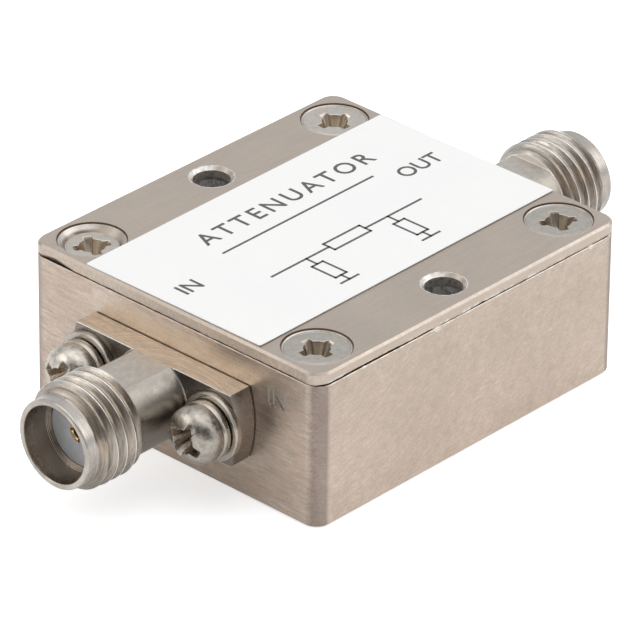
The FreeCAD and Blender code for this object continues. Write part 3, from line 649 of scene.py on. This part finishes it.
def finishPiece(piece, material, nodes, smooth=32.0, placement=Matrix.Identity(4)):
    mesh = piece.data
    mesh.materials.clear()
    mesh.materials.append(material)
    mesh.transform(placement)
    mesh.transform(Matrix.Scale(mm, 4))
    mesh.shade_smooth()
    mesh.set_sharp_from_angle(angle=math.radians(smooth))
    for polygon in mesh.polygons:
        polygon.material_index = 0
        if max(abs(part) for part in polygon.normal) > 0.99999:
            polygon.use_smooth = False         # level and upright faces stay exactly flat
    mesh.update()
    weigh = piece.modifiers.new("faceWeights", "WEIGHTED_NORMAL")
    weigh.keep_sharp = True
    weigh.weight = 80
    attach(piece, "root")
    if nodes:
        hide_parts(*nodes)


def dressNode(node, material):
    # A node whose own shape is right keeps it and gets the better material.
    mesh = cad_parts[node].data
    if not mesh.materials:
        mesh.materials.append(material)
    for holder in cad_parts[node].material_slots:
        holder.material = material


def middleOf(node):
    low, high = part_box(node)
    return (low + high) / (2 * mm)


def wobble(point, size, seed=0.0):
    return noise.noise(Vector(point) / size + Vector((seed, seed * 0.7, -seed)))


# Outlines

def roundedOutline(halfLength, halfWidth, radius, spacing):
    # Points round a rectangle with round corners, each with its outward direction.
    found = []
    corners = [(1, 1, 0), (-1, 1, 90), (-1, -1, 180), (1, -1, 270)]
    for index, (signX, signY, start) in enumerate(corners):
        centre = Vector((signX * (halfLength - radius), signY * (halfWidth - radius)))
        for step in range(13):
            angle = math.radians(start + step * 7.5)
            away = Vector((math.cos(angle), math.sin(angle)))
            found.append((centre + away * radius, away))
        nextX, nextY, nextStart = corners[(index + 1) % 4]
        after = Vector((nextX * (halfLength - radius), nextY * (halfWidth - radius)))
        away = Vector((math.cos(math.radians(nextStart)), math.sin(math.radians(nextStart))))
        begin, end = centre + away * radius, after + away * radius
        count = max(2, round((end - begin).length / spacing))
        found.extend((begin.lerp(end, step / count), away) for step in range(1, count))
    return found


def slab(name, outline, section):
    # A plate skin: section gives the (inset, height, unevenness) levels over a point of the outline.
    columns = []
    for point, away in outline:
        levels = section(point, away)
        column = []
        for level, (drawnIn, height, uneven) in enumerate(levels):
            place = (point.x, point.y, level)
            drift = wobble(place, 0.55, 3.1 * level) + 0.6 * wobble(place, 0.16, 1.7 * level + 9)
            drop = 0.5 + 0.5 * wobble(place, 0.4, 5.3 * level + 4)
            spot = point - away * max(0.0, drawnIn + uneven * drift)
            lift = uneven * drop * (0.8 if level < len(levels) / 2 else -0.8)
            column.append((spot.x, spot.y, height + lift))
        columns.append(column)
    return solidObject(name, zip(*columns))


def textMesh(name, words, height, depth, spacing=1.0, bold=0.0):
    # Generic lettering as a mesh: reads along X, with its left foot at the origin.
    curve = bpy.data.curves.new(name, "FONT")
    curve.body = words
    curve.size = height / 0.7
    curve.extrude = depth / 2
    curve.offset = bold
    curve.space_character = spacing
    curve.resolution_u = 4
    thing = addObject(name + "Curve", curve)
    mesh = evaluatedMesh(thing)
    bpy.data.objects.remove(thing)
    rejoin(mesh, mesh)
    return mesh


def roundRing(radius, height, columns):
    angles = [math.tau * step / columns for step in range(columns)]
    return [(radius * math.cos(a), radius * math.sin(a), height) for a in angles]


def revolved(name, profile, columns, x=0.0, y=0.0):
    rings = [roundRing(radius, height, columns) for radius, height in profile]
    return solidObject(name, [[(px + x, py + y, pz) for px, py, pz in ring] for ring in rings])


# Housing and cover

housingShape = {
    "cornerRadius": 1.0,
    "spacing": 0.22,
    "baseBreak": 0.16,
    "seamBreak": 0.014,
    "engraving": 0.07,
    "letterHeight": 1.02,
    "letterBold": 0.034,
    "lettersAt": (-7.22, 6.66),    # Y of the first letter's left edge, Z of its foot
}

coverShape = {
    "edgeBreak": 0.042,
    "edgeUneven": 0.012,
    "seamBreak": 0.03,
    "gap": 0.07,             # thin opening along the seam, its usual height
    "gapDepth": 0.4,
    "seat": {"radius": 2.03, "rim": 1.975, "depth": 0.075, "groove": 0.12},
}


def sidewaysShare(away):
    # 1 on the long sides, 0 on the ends
    return max(0.0, abs(away.y) - 0.3) / 0.7


def seamGap(point, away):
    # The cover sits a little open along the seam, most of all right of the near corner.
    gap = coverShape["gap"] * (1.0 + 0.75 * wobble((point.x, point.y, 0), 1.5, 2.0))
    gap += 0.03 * wobble((point.x, point.y, 0), 0.35, 5.0)
    if away.y < -0.7:
        gap += 0.09 * max(0.0, 1.0 - abs(point.x + 8.5) / 5.5)
    return max(0.025, gap)


def seamChip(point, away):
    # A worn wedge under the cover near its far left corner.
    return 0.26 * max(0.0, 1.0 - abs(point.y - 9.2) / 1.75) if away.x <= -0.2 else 0.0


def seamWear(point, away):
    # Nicks along the long edges under the cover; the ends stay nearly sharp.
    nick = max(0.0, wobble((point.x, point.y, 0), 0.8, 8.0) - 0.12) * 0.22
    return housingShape["seamBreak"] * (0.3 + sidewaysShare(away)) + nick * sidewaysShare(away)


def makeHousingPiece():
    shape = housingShape
    low, high, base = inset, housingHigh.z - inset, shape["baseBreak"]

    def section(point, away):
        wear = seamWear(point, away)
        return [
            (base + 0.06, low, 0.0), (base, low, 0.02), (base * 0.35, low + base * 0.3, 0.01),
            (base * 0.08, low + base * 0.7, 0.0), (inset, low + base * 1.1, 0.0),
            (inset, high - 2.2 * wear, 0.0), (inset + 0.4 * wear, high - 0.8 * wear, 0.0),
            (inset + 1.3 * wear, high, 0.0), (0.24, high, 0.0),
        ]

    outline = roundedOutline(housingHigh.x, housingHigh.y, shape["cornerRadius"], shape["spacing"])
    piece = copyOfNode("housing_body", "housing")
    combine(piece, slab("envelope", outline, section), "INTERSECT")
    depth = shape["engraving"]
    letters = textMesh("letters", "IN", shape["letterHeight"], depth * 2, 1.0, shape["letterBold"])
    y, z = shape["lettersAt"]
    letters.transform(Matrix(((0, 0, -1, housingLow.x), (-1, 0, 0, y), (0, 1, 0, z), (0, 0, 0, 1))))
    combine(piece, addObject("letters", letters), "DIFFERENCE")
    finishPiece(piece, housingFinish, ["housing"])


def makeCoverPiece():
    shape = coverShape
    low, high = coverLow.z + inset, coverHigh.z - inset
    edge, uneven = shape["edgeBreak"], shape["edgeUneven"]
    seam, depth = shape["seamBreak"], shape["gapDepth"]

    def section(point, away):
        lifted, chip = low + seamGap(point, away), seamChip(point, away)
        broken = edge * (0.45 + 0.55 * sidewaysShare(away))     # more on the long sides than at the ends
        return [
            (depth, low, 0.0), (depth - 0.01, lifted, 0.0), (seam + chip * 0.5, lifted, 0.0),
            (inset, lifted + seam + chip, 0.0), (inset, high - broken * 1.2, 0.0),
            (broken * 0.3, high - broken * 0.45, uneven * 0.5), (broken, high, uneven),
            (edge + 0.07, high, 0.0),
        ]

    outline = roundedOutline(
        coverHigh.x, coverHigh.y, housingShape["cornerRadius"], housingShape["spacing"],
    )
    piece = copyOfNode("cover_plate", "cover")
    combine(piece, slab("envelope", outline, section), "INTERSECT")
    # each countersink starts with a short upright step and a fine groove
    seat = shape["seat"]
    floor, groove = coverTop - seat["depth"], coverTop - seat["groove"]
    for side in (-1, 1):
        for hand in (-1, 1):
            tool = revolved("seat", [
                (seat["rim"] - 0.05, floor), (seat["rim"], floor - 0.01), (seat["rim"], groove),
                (seat["radius"], groove), (seat["radius"], coverTop + 1),
            ], 72, side * coverScrewPlace[0], hand * coverScrewPlace[1])
            combine(piece, tool, "DIFFERENCE")
    finishPiece(piece, coverFinish, ["cover"])


makeHousingPiece()
makeCoverPiece()
print("housing and cover made")


# Label

labelShape = {
    "skew": 0.5,
    "offset": 0.3,
    "endMargin": 0.2,
    "halfWidth": 6.65,
    "spacing": 0.4,
    "cornerRadius": 0.12,
    "inkHeight": 0.0765,
    "inkThickness": 0.004,
    "bold": 0.018,
    "line": 0.16,
    # words: left edge, foot, letter height, spacing
    "words": {
        "IN": (-11.02, 0.1, 1.1, 1.0), "OUT": (7.5, 0.35, 1.1, 1.0), "ATTENUATOR": (-6.1, 3.1, 1.25, 1.3),
    },
}
labelPlacement = Matrix.Translation((0, labelShape["offset"], coverTop))
labelPlacement = labelPlacement @ Matrix.Rotation(math.radians(labelShape["skew"]), 4, "Z")


def makeLabelPiece():
    shape = labelShape
    halfLength = coverHigh.x - shape["endMargin"]
    outline = roundedOutline(halfLength, shape["halfWidth"], shape["cornerRadius"], shape["spacing"])
    levels = [(0.0, 0.0, 0.0), (0.0, 0.055, 0.0), (0.02, 0.074, 0.006), (0.05, 0.076, 0.004)]
    piece = slab("label_film", outline, lambda point, away: levels)
    finishPiece(piece, labelFinish, ["label"], placement=labelPlacement)


def stroke(skin, start, end):
    # One straight printed line, with square ends.
    shape = labelShape
    start, end = Vector(start), Vector(end)
    along = (end - start).normalized() * shape["line"] / 2
    across = Vector((-along.y, along.x))
    start, end = start - along, end + along
    corners = [start - across, end - across, end + across, start + across]
    low = shape["inkHeight"]
    skin.solid([[(c.x, c.y, z) for c in corners] for z in (low, low + shape["inkThickness"])])


def symbolLines():
    # The plain circuit symbol of an attenuator, one series and two shunt resistors, and a rule above.
    lines = [((-6.1, 1.9), (6.3, 1.9))]
    for side in (-1, 1):
        lines += [
            ((side * 1.5, -1.9), (side * 6.2, -1.9)), ((side * 3.4, -1.9), (side * 3.4, -2.75)),
            ((side * 3.4, -4.55), (side * 3.4, -5.2)), ((side * 2.7, -5.2), (side * 4.1, -5.2)),
        ]
    for x, y, wide, high in [(0, -1.9, 1.5, 0.45), (-3.4, -3.65, 0.45, 0.9), (3.4, -3.65, 0.45, 0.9)]:
        corners = [(x - wide, y - high), (x + wide, y - high), (x + wide, y + high), (x - wide, y + high)]
        lines += zip(corners, corners[1:] + corners[:1])
    return lines


def makePrint():
    shape = labelShape
    joined = bmesh.new()
    for text, (x, y, size, spacing) in shape["words"].items():
        mesh = textMesh(text.lower(), text, size, shape["inkThickness"], spacing, shape["bold"])
        mesh.transform(Matrix.Translation((x, y, shape["inkHeight"] + shape["inkThickness"] / 2)))
        joined.from_mesh(mesh)
    skin = Skin()
    for start, end in symbolLines():
        stroke(skin, start, end)
    joined.from_mesh(skin.mesh("symbol"))
    mesh = bpy.data.meshes.new("label_print")
    joined.to_mesh(mesh)
    joined.free()
    finishPiece(addObject("label_print", mesh), printFinish, [], placement=labelPlacement)


makeLabelPiece()
makePrint()
print("label made")


# Screws and washers

def crossLoop(reach, halfWidth, middle, corner):
    # The outline of a cross recess: wings with soft corners round a wide middle.
    middle = max(middle, halfWidth * 1.46)
    corner = min(corner, halfWidth * 0.8)
    foot = min(math.sqrt(middle ** 2 - halfWidth ** 2), reach - corner * 1.2)
    half = [(reach, 0.0), (reach, (halfWidth - corner) * 0.6)]
    for angle in (0, 45, 90):
        turn = math.radians(angle)
        half.append((reach - corner + corner * math.cos(turn), halfWidth - corner + corner * math.sin(turn)))
    for share in (0.33, 0.66, 1.0):
        half.append((reach - corner + (foot - reach + corner) * share, halfWidth))
    startAngle = math.atan2(halfWidth, foot)
    for share in (0.5, 1.0):
        turn = startAngle + (math.pi / 4 - startAngle) * share
        half.append((middle * math.cos(turn), middle * math.sin(turn)))
    wing = [(x, -y) for x, y in reversed(half[1:-1])] + half
    turns = [Matrix.Rotation(math.radians(90 * quarter), 2) for quarter in range(4)]
    return [turn @ Vector(point) for turn in turns for point in wing]


def circleLoop(loop, radius):
    return [point.normalized() * radius for point in loop]


def drivenHead(name, recess, headRadius, surface, side, uneven, seed, groove=0.0):
    # A screw with a cross recess, from the floor of the recess out over the head and down the shank.
    reach, halfWidth, middle = recess["reach"], recess["halfWidth"], recess["middle"]
    depth, lip, corner = recess["depth"], recess["lip"], recess["corner"]

    def grown(width):
        return crossLoop(reach + width, halfWidth + width, middle + width, corner + width)

    def draped(loop, drop=0.0):
        return [(p.x, p.y, surface(p.length) - drop) for p in loop]

    rings = []
    low = surface(0) - depth
    for share in (1.0, 0.8, 0.6, 0.4, 0.2, 0.0):
        loop = crossLoop(
            reach * (1 - 0.42 * share), halfWidth * (1 - 0.3 * share), middle * (1 - 0.36 * share), corner,
        )
        rings.append([(p.x, p.y, low + (surface(p.length) - lip - low) * (1 - share)) for p in loop])
    wide = grown(lip * 2)
    rings += [draped(grown(lip), lip * 0.25), draped(wide)]
    inner = reach + lip * 2 + (headRadius - reach) * 0.25
    for share in (0.33, 0.66, 1.0):
        rings.append(draped([a.lerp(b, share) for a, b in zip(wide, circleLoop(wide, inner))]))
    for share, cut in ((0.25, 0.0), (0.5, 0.0), (0.7, 0.0), (0.76, groove), (0.82, 0.0)):
        rings.append(draped(circleLoop(wide, inner + (headRadius - inner) * share), cut))
    for radius, height in side:
        rings.append([(p.x, p.y, height) for p in circleLoop(wide, radius)])
    skin = Skin()
    made = skin.stack(rings)
    skin.fan(made[0], (0, 0, surface(0) - depth * 1.15))
    skin.cap(made[-1])
    for point in skin.points:
        if point.z > -0.5:
            nudge = noise.noise_vector(point * 1.9 + Vector((seed, 0, seed)))
            fine = noise.noise_vector(point * 7.0 + Vector((0, seed, seed)))
            point += nudge * uneven + fine * uneven * 0.5
    return skin.mesh(name)


flatScrewShape = {
    "recess": {"reach": 1.1, "halfWidth": 0.28, "middle": 0.76, "depth": 0.9, "lip": 0.02, "corner": 0.09},
    "edge": 0.035,
    "shank": 1.0,
    "length": 5.0,
    "tip": 0.25,
    "uneven": 0.006,
    "groove": 0.012,
    "turns": {"in_left": -28, "in_right": -8, "out_left": -5, "out_right": -31},
}


def makeCoverScrews():
    shape = flatScrewShape
    edge, shank, length, tip = shape["edge"], shape["shank"], shape["length"], shape["tip"]
    for index, (spot, turn) in enumerate(shape["turns"].items()):
        node = "cover_screw_" + spot
        low, high = (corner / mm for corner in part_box(node))
        head = (high.x - low.x) / 2
        side = [
            (head - edge, 0.0), (head - edge * 0.3, -edge * 0.35), (head, -edge * 1.1),
            (shank, shank - head - edge * 0.2), (shank, tip - length), (shank - tip, -length),
        ]
        mesh = drivenHead(
            node, shape["recess"], head - edge, lambda radius: 0.0, side, shape["uneven"], 11.0 + index,
            shape["groove"],
        )
        middle = (low + high) / 2
        placement = Matrix.Translation((middle.x, middle.y, high.z - inset))
        placement = placement @ Matrix.Rotation(math.radians(turn), 4, "Z")
        piece = addObject(node + "_dressed", mesh)
        finishPiece(piece, flatScrewFinish, [node], 28.0, placement)


panScrewShape = {
    "recess": {"reach": 1.18, "halfWidth": 0.29, "middle": 0.72, "depth": 1.2, "lip": 0.03, "corner": 0.13},
    "head": 1.7,
    "height": 1.6,
    "rim": 0.45,
    "fullness": 2.3,
    "shank": 1.0,
    "length": 6.0,
    "tip": 0.25,
    "uneven": 0.014,
}
flatWasherShape = {"bore": 1.1, "rim": 2.05, "thickness": 0.5, "edge": 0.07, "boreEdge": 0.04, "steps": 72}
lockWasherShape = {
    "bore": 1.1, "rim": 1.75, "thickness": 0.55, "edge": 0.13, "slit": 0.15, "slant": 0.083, "steps": 64,
}
lockSeat = flangeThickness + flatWasherShape["thickness"]
headSeat = lockSeat + lockWasherShape["thickness"]
# how far each lock washer's slit and each screw's cross is turned, in degrees
fastenerTurns = {"in_left": (170, -20), "in_right": (215, -28), "out_left": (120, 35), "out_right": (60, 10)}


def endPlacement(end, outward, sideways=0.0, turn=0.0):
    # Local Z runs outward from the end wall. Local X is up at the input end, down at the output end.
    sign = -1 if end == "in" else 1
    face = Matrix.Translation((sign * (endOfHousing + outward), sideways, portHeight))
    tip = Matrix.Rotation(math.radians(90 * sign), 4, "Y")
    return face @ tip @ Matrix.Rotation(math.radians(turn), 4, "Z")


def seatAtFlange(node, mesh, finish, smooth, seat, turn=0.0):
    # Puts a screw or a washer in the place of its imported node.
    end = "in" if "_in_" in node else "out"
    placement = endPlacement(end, seat, middleOf(node).y, turn)
    finishPiece(addObject(node + "_dressed", mesh), finish, [node], smooth, placement)


def softRim(radius, thick, edge, side=1):
    # Points up the rim of a flat ring, or up its bore with side -1, with soft edges.
    low = [(radius - side * edge, 0.0), (radius - side * edge * 0.3, edge * 0.3), (radius, edge)]
    return low + [(place, thick - height) for place, height in reversed(low)]


def makeFlatWasher(spot):
    shape = flatWasherShape
    bore, thick, soft = shape["bore"], shape["thickness"] - 0.05, shape["boreEdge"]
    section = softRim(shape["rim"] - inset, thick, shape["edge"])
    section += [(bore + soft, thick), (bore, thick - soft), (bore, soft), (bore + soft, 0.0)]
    skin = Skin()
    made = skin.stack([roundRing(radius, height, shape["steps"]) for radius, height in section])
    skin.bridge(made[-1], made[0])
    for point in skin.points:
        point += noise.noise_vector(point * 1.2 + Vector((len(spot), 0, 7))) * 0.003
    node = "flat_washer_" + spot
    seatAtFlange(node, skin.mesh(node), washerFinish, 35.0, flangeThickness)


def makeLockWasher(spot, turn):
    shape = lockWasherShape
    thick, edge, slit, steps = shape["thickness"], shape["edge"], shape["slit"], shape["steps"]
    section = softRim(shape["rim"] - inset, thick, edge) + softRim(shape["bore"], thick, edge, -1)[::-1]
    rings = []
    for step in range(steps + 1):
        ring = []
        for radius, height in section:
            lean = shape["slant"] * (2 * height / thick - 1)
            low = (lean + slit) / radius
            high = math.tau + (lean - slit) / radius
            angle = low + (high - low) * step / steps
            ring.append((radius * math.cos(angle), radius * math.sin(angle), height))
        rings.append(ring)
    skin = Skin()
    skin.solid(rings)
    node = "lock_washer_" + spot
    seatAtFlange(node, skin.mesh(node), washerFinish, 35.0, lockSeat, turn)


def makePanScrew(spot, slitTurn, turn):
    shape = panScrewShape
    head, height, rim = shape["head"] - inset, shape["height"] - inset, shape["rim"]
    shank, length, tip, full = shape["shank"], shape["length"], shape["tip"], shape["fullness"]

    def dome(radius):
        # fuller at the shoulder than part of a ball
        return rim + (height - rim) * max(0.0, 1.0 - (radius / head) ** full) ** (1 / full)

    side = [(head * share, dome(head * share)) for share in (0.97, 0.988)]
    side += [
        (head, rim * 0.95), (head, 0.08), (head - 0.03, 0.02), (head - 0.09, 0.0), (shank, 0.0),
        (shank, tip - length), (shank - tip, -length),
    ]
    node = "flange_screw_" + spot
    seed = 31.0 + len(spot) + slitTurn * 0.1
    mesh = drivenHead(node, shape["recess"], head * 0.95, dome, side, shape["uneven"], seed)
    seatAtFlange(node, mesh, panScrewFinish, 30.0, headSeat, turn)


makeCoverScrews()
for spot, (slitTurn, crossTurn) in fastenerTurns.items():
    makeFlatWasher(spot)
    makeLockWasher(spot, slitTurn)
    makePanScrew(spot, slitTurn, crossTurn)
print("screws and washers made")


# Coaxial jacks

jackShape = {
    "length": 9.3,
    "flange": {"radius": 6.35, "half": 2.28, "edge": 0.045, "hole": 1.1},
    "barrel": 2.65,
    "foot": 0.1,
    "thread": {
        "radius": 3.17, "pitch": 0.7056, "rear": threadStart, "runout": 0.35, "front": 8.5, "entry": 0.55,
    },
    "pilot": 2.675,
    "rimBreak": 0.09,
    "mouth": {"radius": 2.31, "depth": 1.9, "lip": 0.07},
    "bore": 2.07,
    "collar": (2.17, 0.52),
    "columns": 120,
}
# thread form as (place along the pitch, depth below the crest)
threadForm = [
    (0.0, 0.31), (0.10, 0.305), (0.17, 0.275), (0.30, 0.155), (0.445, 0.020), (0.472, 0.005),
    (0.5, 0.0), (0.528, 0.005), (0.555, 0.020), (0.70, 0.155), (0.83, 0.275), (0.90, 0.305),
]


def turnedBody(shape):
    # The barrel with its thread, closed at both ends; the bore is cut afterwards.
    columns, thread, forms = shape["columns"], shape["thread"], len(threadForm)
    pitch, rear, front, crest = thread["pitch"], thread["rear"], thread["front"], thread["radius"]
    barrel, pilot, foot = shape["barrel"], shape["pilot"], shape["foot"]

    def threadRadius(height, depth):
        # the form runs out at the rear and is bevelled at the front
        rising = barrel + (crest - barrel) * (height - rear) / thread["runout"]
        falling = pilot + (crest - pilot) * (front - height) / thread["entry"]
        return max(min(rising, falling, crest - depth), barrel if height < rear + 0.5 else pilot)

    skin = Skin()
    start = skin.stack(roundRing(radius, height, columns) for radius, height in [
        (barrel + foot, 0.9), (barrel + foot, flangeThickness + 0.03),
        (barrel + foot * 0.3, flangeThickness + foot * 0.7), (barrel, flangeThickness + foot * 1.5),
        (barrel, rear - pitch - 0.02),
    ])
    skin.cap(start[0])
    # the thread's rings climb by one pitch in each turn
    rows = []
    while True:
        place, depth = threadForm[len(rows) % forms]
        along = rear - pitch + (len(rows) // forms + place) * pitch
        if along > front - 0.02:
            break
        top = along + pitch + 0.01
        points = []
        for column in range(columns):
            height = along + pitch * column / columns
            radius = threadRadius(height, depth)
            angle = math.tau * column / columns
            points.append((radius * math.cos(angle), radius * math.sin(angle), height))
        rows.append(skin.ring(points))
    # flat rings before and after, joined across the step of the helix
    before, after = start[-1], skin.ring(roundRing(pilot, top, columns))
    last = columns - 1
    for lower, upper in zip([before, *rows], [*rows, after]):
        for column in range(last):
            skin.faces.append((lower[column], lower[column + 1], upper[column + 1], upper[column]))
    for row in range(len(rows) - forms - 1):
        ahead = row + forms
        skin.faces.append((rows[row][last], rows[ahead][0], rows[ahead + 1][0], rows[row + 1][last]))
    skin.faces.append((before[last], before[0], *[row[0] for row in rows[:forms + 1]], rows[0][last]))
    closing = [row[last] for row in reversed(rows[-forms - 1:])]
    skin.faces.append((after[last], *closing, rows[-1][0], after[0]))
    length, rimBreak = shape["length"] - inset, shape["rimBreak"]
    ends = skin.stack(roundRing(radius, height, columns) for radius, height in [
        (pilot, max(top + 0.01, length - rimBreak * 1.3)),
        (pilot - rimBreak * 0.3, length - rimBreak * 0.35), (pilot - rimBreak, length),
    ])
    skin.bridge(after, ends[0])
    skin.cap(ends[-1])
    return addObject("turned", skin.mesh("turned"))


def flangePlate(name, shape):
    # A disc milled flat above and below, with soft edges.
    flange = shape["flange"]
    radius, half, edge = flange["radius"] - inset, flange["half"] - inset, flange["edge"]
    reach = math.asin(half / radius)
    top = flangeThickness - 0.002
    outline = []
    for side in (0, math.pi):
        # local X is up, so the flats face along X and the round ends lie along Y
        for step in range(17):
            angle = side - reach + 2 * reach * step / 16
            outline.append(Vector((-math.sin(angle), math.cos(angle))) * radius)
        start = outline[-1]
        end = Vector((start.x, -start.y))
        outline += [start.lerp(end, step / 30) for step in range(1, 30)]
    rings = []
    for drawnIn, height in [
        (0.10, 0.002), (0.08, 0.05), (0.01, 0.06), (0.0, 0.075), (0.0, top - edge),
        (edge * 0.3, top - edge * 0.3), (edge, top),
    ]:
        scaleX, scaleY = (half - drawnIn) / half, (radius - drawnIn) / radius
        rings.append([(p.x * scaleX, p.y * scaleY, height) for p in outline])
    return solidObject(name, rings)


def block(across, along, upward):
    left, right = sorted(across)
    corners = [(left, along[0]), (right, along[0]), (right, along[1]), (left, along[1])]
    return solidObject("block", [[(x, y, z) for x, y in corners] for z in upward])


def makeJack(end):
    shape = jackShape
    flange, mouth, thread = shape["flange"], shape["mouth"], shape["thread"]
    piece = flangePlate(end + "_jack_dressed", shape)
    for side in (1, -1):
        hole = revolved("hole", [(flange["hole"], -1), (flange["hole"], 3)], 40, 0.0, side * flangeScrewY)
        combine(piece, hole, "DIFFERENCE")
    turned = turnedBody(shape)
    for side in (1, -1):
        # the flange's flats run on over the barrel as far as the thread
        milled = flange["half"] - 2 * inset
        combine(turned, block((side * milled, side * 9), (-9, 9), (0.2, thread["rear"])), "DIFFERENCE")
    combine(piece, turned, "UNION")
    length, bore, (collar, collarDepth) = shape["length"], shape["bore"], shape["collar"]
    radius, lip, floor = mouth["radius"], mouth["lip"], length - mouth["depth"]
    cutter = revolved("cutter", [
        (collar, -1.0), (collar, collarDepth), (bore, collarDepth), (bore, floor), (radius, floor),
        (radius, length - lip * 1.4), (radius + lip * 0.3, length - lip * 0.5),
        (radius + lip, length - inset), (radius + lip, length + 1),
    ], 96)
    combine(piece, cutter, "DIFFERENCE")
    finishPiece(piece, jackFinish, [end + "_jack_shell"], 30.0, endPlacement(end, 0.0))


for end in ("in", "out"):
    makeJack(end)
print("jacks made")


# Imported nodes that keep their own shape

dressNode("circuit_board", plainFinishes["boardLaminate"])
dressNode("series_resistor", plainFinishes["chipBody"])
for end, port in (("in", "input"), ("out", "output")):
    dressNode(end + "_dielectric", dielectricFinish)
    dressNode(end + "_contact", plainFinishes["contactGold"])
    dressNode(port + "_strip", plainFinishes["stripGold"])
    dressNode(port + "_ground_pad", plainFinishes["stripGold"])
    dressNode(port + "_solder", plainFinishes["solderTin"])
    dressNode(port + "_shunt_resistor", plainFinishes["chipBody"])
    for side in ("left", "right"):
        dressNode("board_screw_" + end + "_" + side, panScrewFinish)


# Camera, floor and light

viewShape = {
    "azimuth": -47.2457,
    "elevation": 29.7694,
    "roll": 0.6529,
    "distance": 369.114,
    "target": (-1.1656, -0.6862, 4.6505),
    "lens": 366.894,
}


def makeCamera():
    shape = viewShape
    azimuth, elevation, roll = (math.radians(shape[key]) for key in ("azimuth", "elevation", "roll"))
    right = Vector((math.cos(azimuth), math.sin(azimuth), 0.0))
    back = Vector((right.y, -right.x, math.tan(elevation))) * math.cos(elevation)
    up = back.cross(right)
    rolledRight = right * math.cos(roll) + up * math.sin(roll)
    rolledUp = up * math.cos(roll) - right * math.sin(roll)
    matrix = Matrix((rolledRight, rolledUp, back)).transposed().to_4x4()
    matrix.translation = (Vector(shape["target"]) + back * shape["distance"]) * mm
    camera = addObject("camera", bpy.data.cameras.new("camera"))
    camera.matrix_world = matrix
    camera.data.lens = shape["lens"]
    camera.data.sensor_width = 36.0
    camera.data.clip_start = 0.01
    camera.data.clip_end = 20.0
    bpy.context.scene.camera = camera


floorLook = {
    "half": 4000, "drop": 0.02, "colour": (0.86, 0.86, 0.86), "seenLift": 0.62, "mirroredLift": 0.20,
}


def makeFloor():
    look = floorLook
    half = look["half"]
    skin = Skin()
    skin.cap(skin.ring([(-half, -half, 0), (half, -half, 0), (half, half, 0), (-half, half, 0)]))
    floor = addObject("floor", skin.mesh("floor"))
    floor.data.transform(Matrix.Scale(mm, 4))
    floor.location.z = -look["drop"] * mm
    sheet = newSheet("paleFloor")
    matt = sheet.add("BsdfDiffuse", {}, {"Color": look["colour"]})
    camera, glossy, through = (
        sheet.add("LightPath", output="Is " + kind + " Ray") for kind in ("Camera", "Glossy", "Transmission")
    )
    lift = camera * look["seenLift"] + (glossy + through) * look["mirroredLift"]
    glow = sheet.add("Emission", {}, {"Color": (1.0, 1.0, 1.0), "Strength": lift})
    both = sheet.add("AddShader", {}, {0: matt, 1: glow})
    sheet.add("OutputMaterial", {}, {"Surface": both})
    floor.data.materials.append(sheet.owner)


# name: place, size in mm, radiance where 1 is white, tint
lamps = {
    "keyPanel": ((359, -323, 302), (460, 330), 0.90, (1.0, 0.975, 0.94)),
    "leftPanel": ((-345, 305, 270), (320, 260), 1.5, (1.0, 0.97, 0.93)),
}


def makeLamps():
    for name, (place, size, radiance, tint) in lamps.items():
        light = bpy.data.lights.new(name, "AREA")
        light.shape = "RECTANGLE"
        light.size, light.size_y = size[0] * mm, size[1] * mm
        light.energy = radiance * math.pi * light.size * light.size_y
        light.color = tint
        lamp = addObject(name, light)
        lamp.location = Vector(place) * mm
        lamp.rotation_euler = (-Vector(place)).to_track_quat("-Z", "Y").to_euler()


worldLook = {"far": (0.745, 0.765, 0.785), "near": (0.16, 0.155, 0.15), "zenith": (1.6, 1.6, 1.6)}


def makeWorld():
    world = bpy.data.worlds.new("studio")
    bpy.context.scene.world = world
    sheet = Sheet(world)
    ray = sheet.add("TexCoord", output="Generated")
    ahead = sheet.split(ray, "X") * 0.73 + sheet.split(ray, "Y") * 0.68
    side = sheet.blend(sheet.level(ahead, -0.75, -0.35), worldLook["near"], worldLook["far"])
    height = sheet.level(sheet.split(ray, "Z"), 0.72, 0.97)
    value = sheet.blend(height, side, worldLook["zenith"])
    seen = sheet.add("LightPath", output="Is Camera Ray")
    back = sheet.add("Background", {}, {"Color": sheet.blend(seen, value, (1.0, 1.0, 1.0)), "Strength": 1.0})
    sheet.add("OutputWorld", {}, {"Surface": back})


makeCamera()
makeFloor()
makeLamps()
makeWorld()
bpy.context.scene.view_settings.view_transform = "Standard"
print("camera, floor and light made")
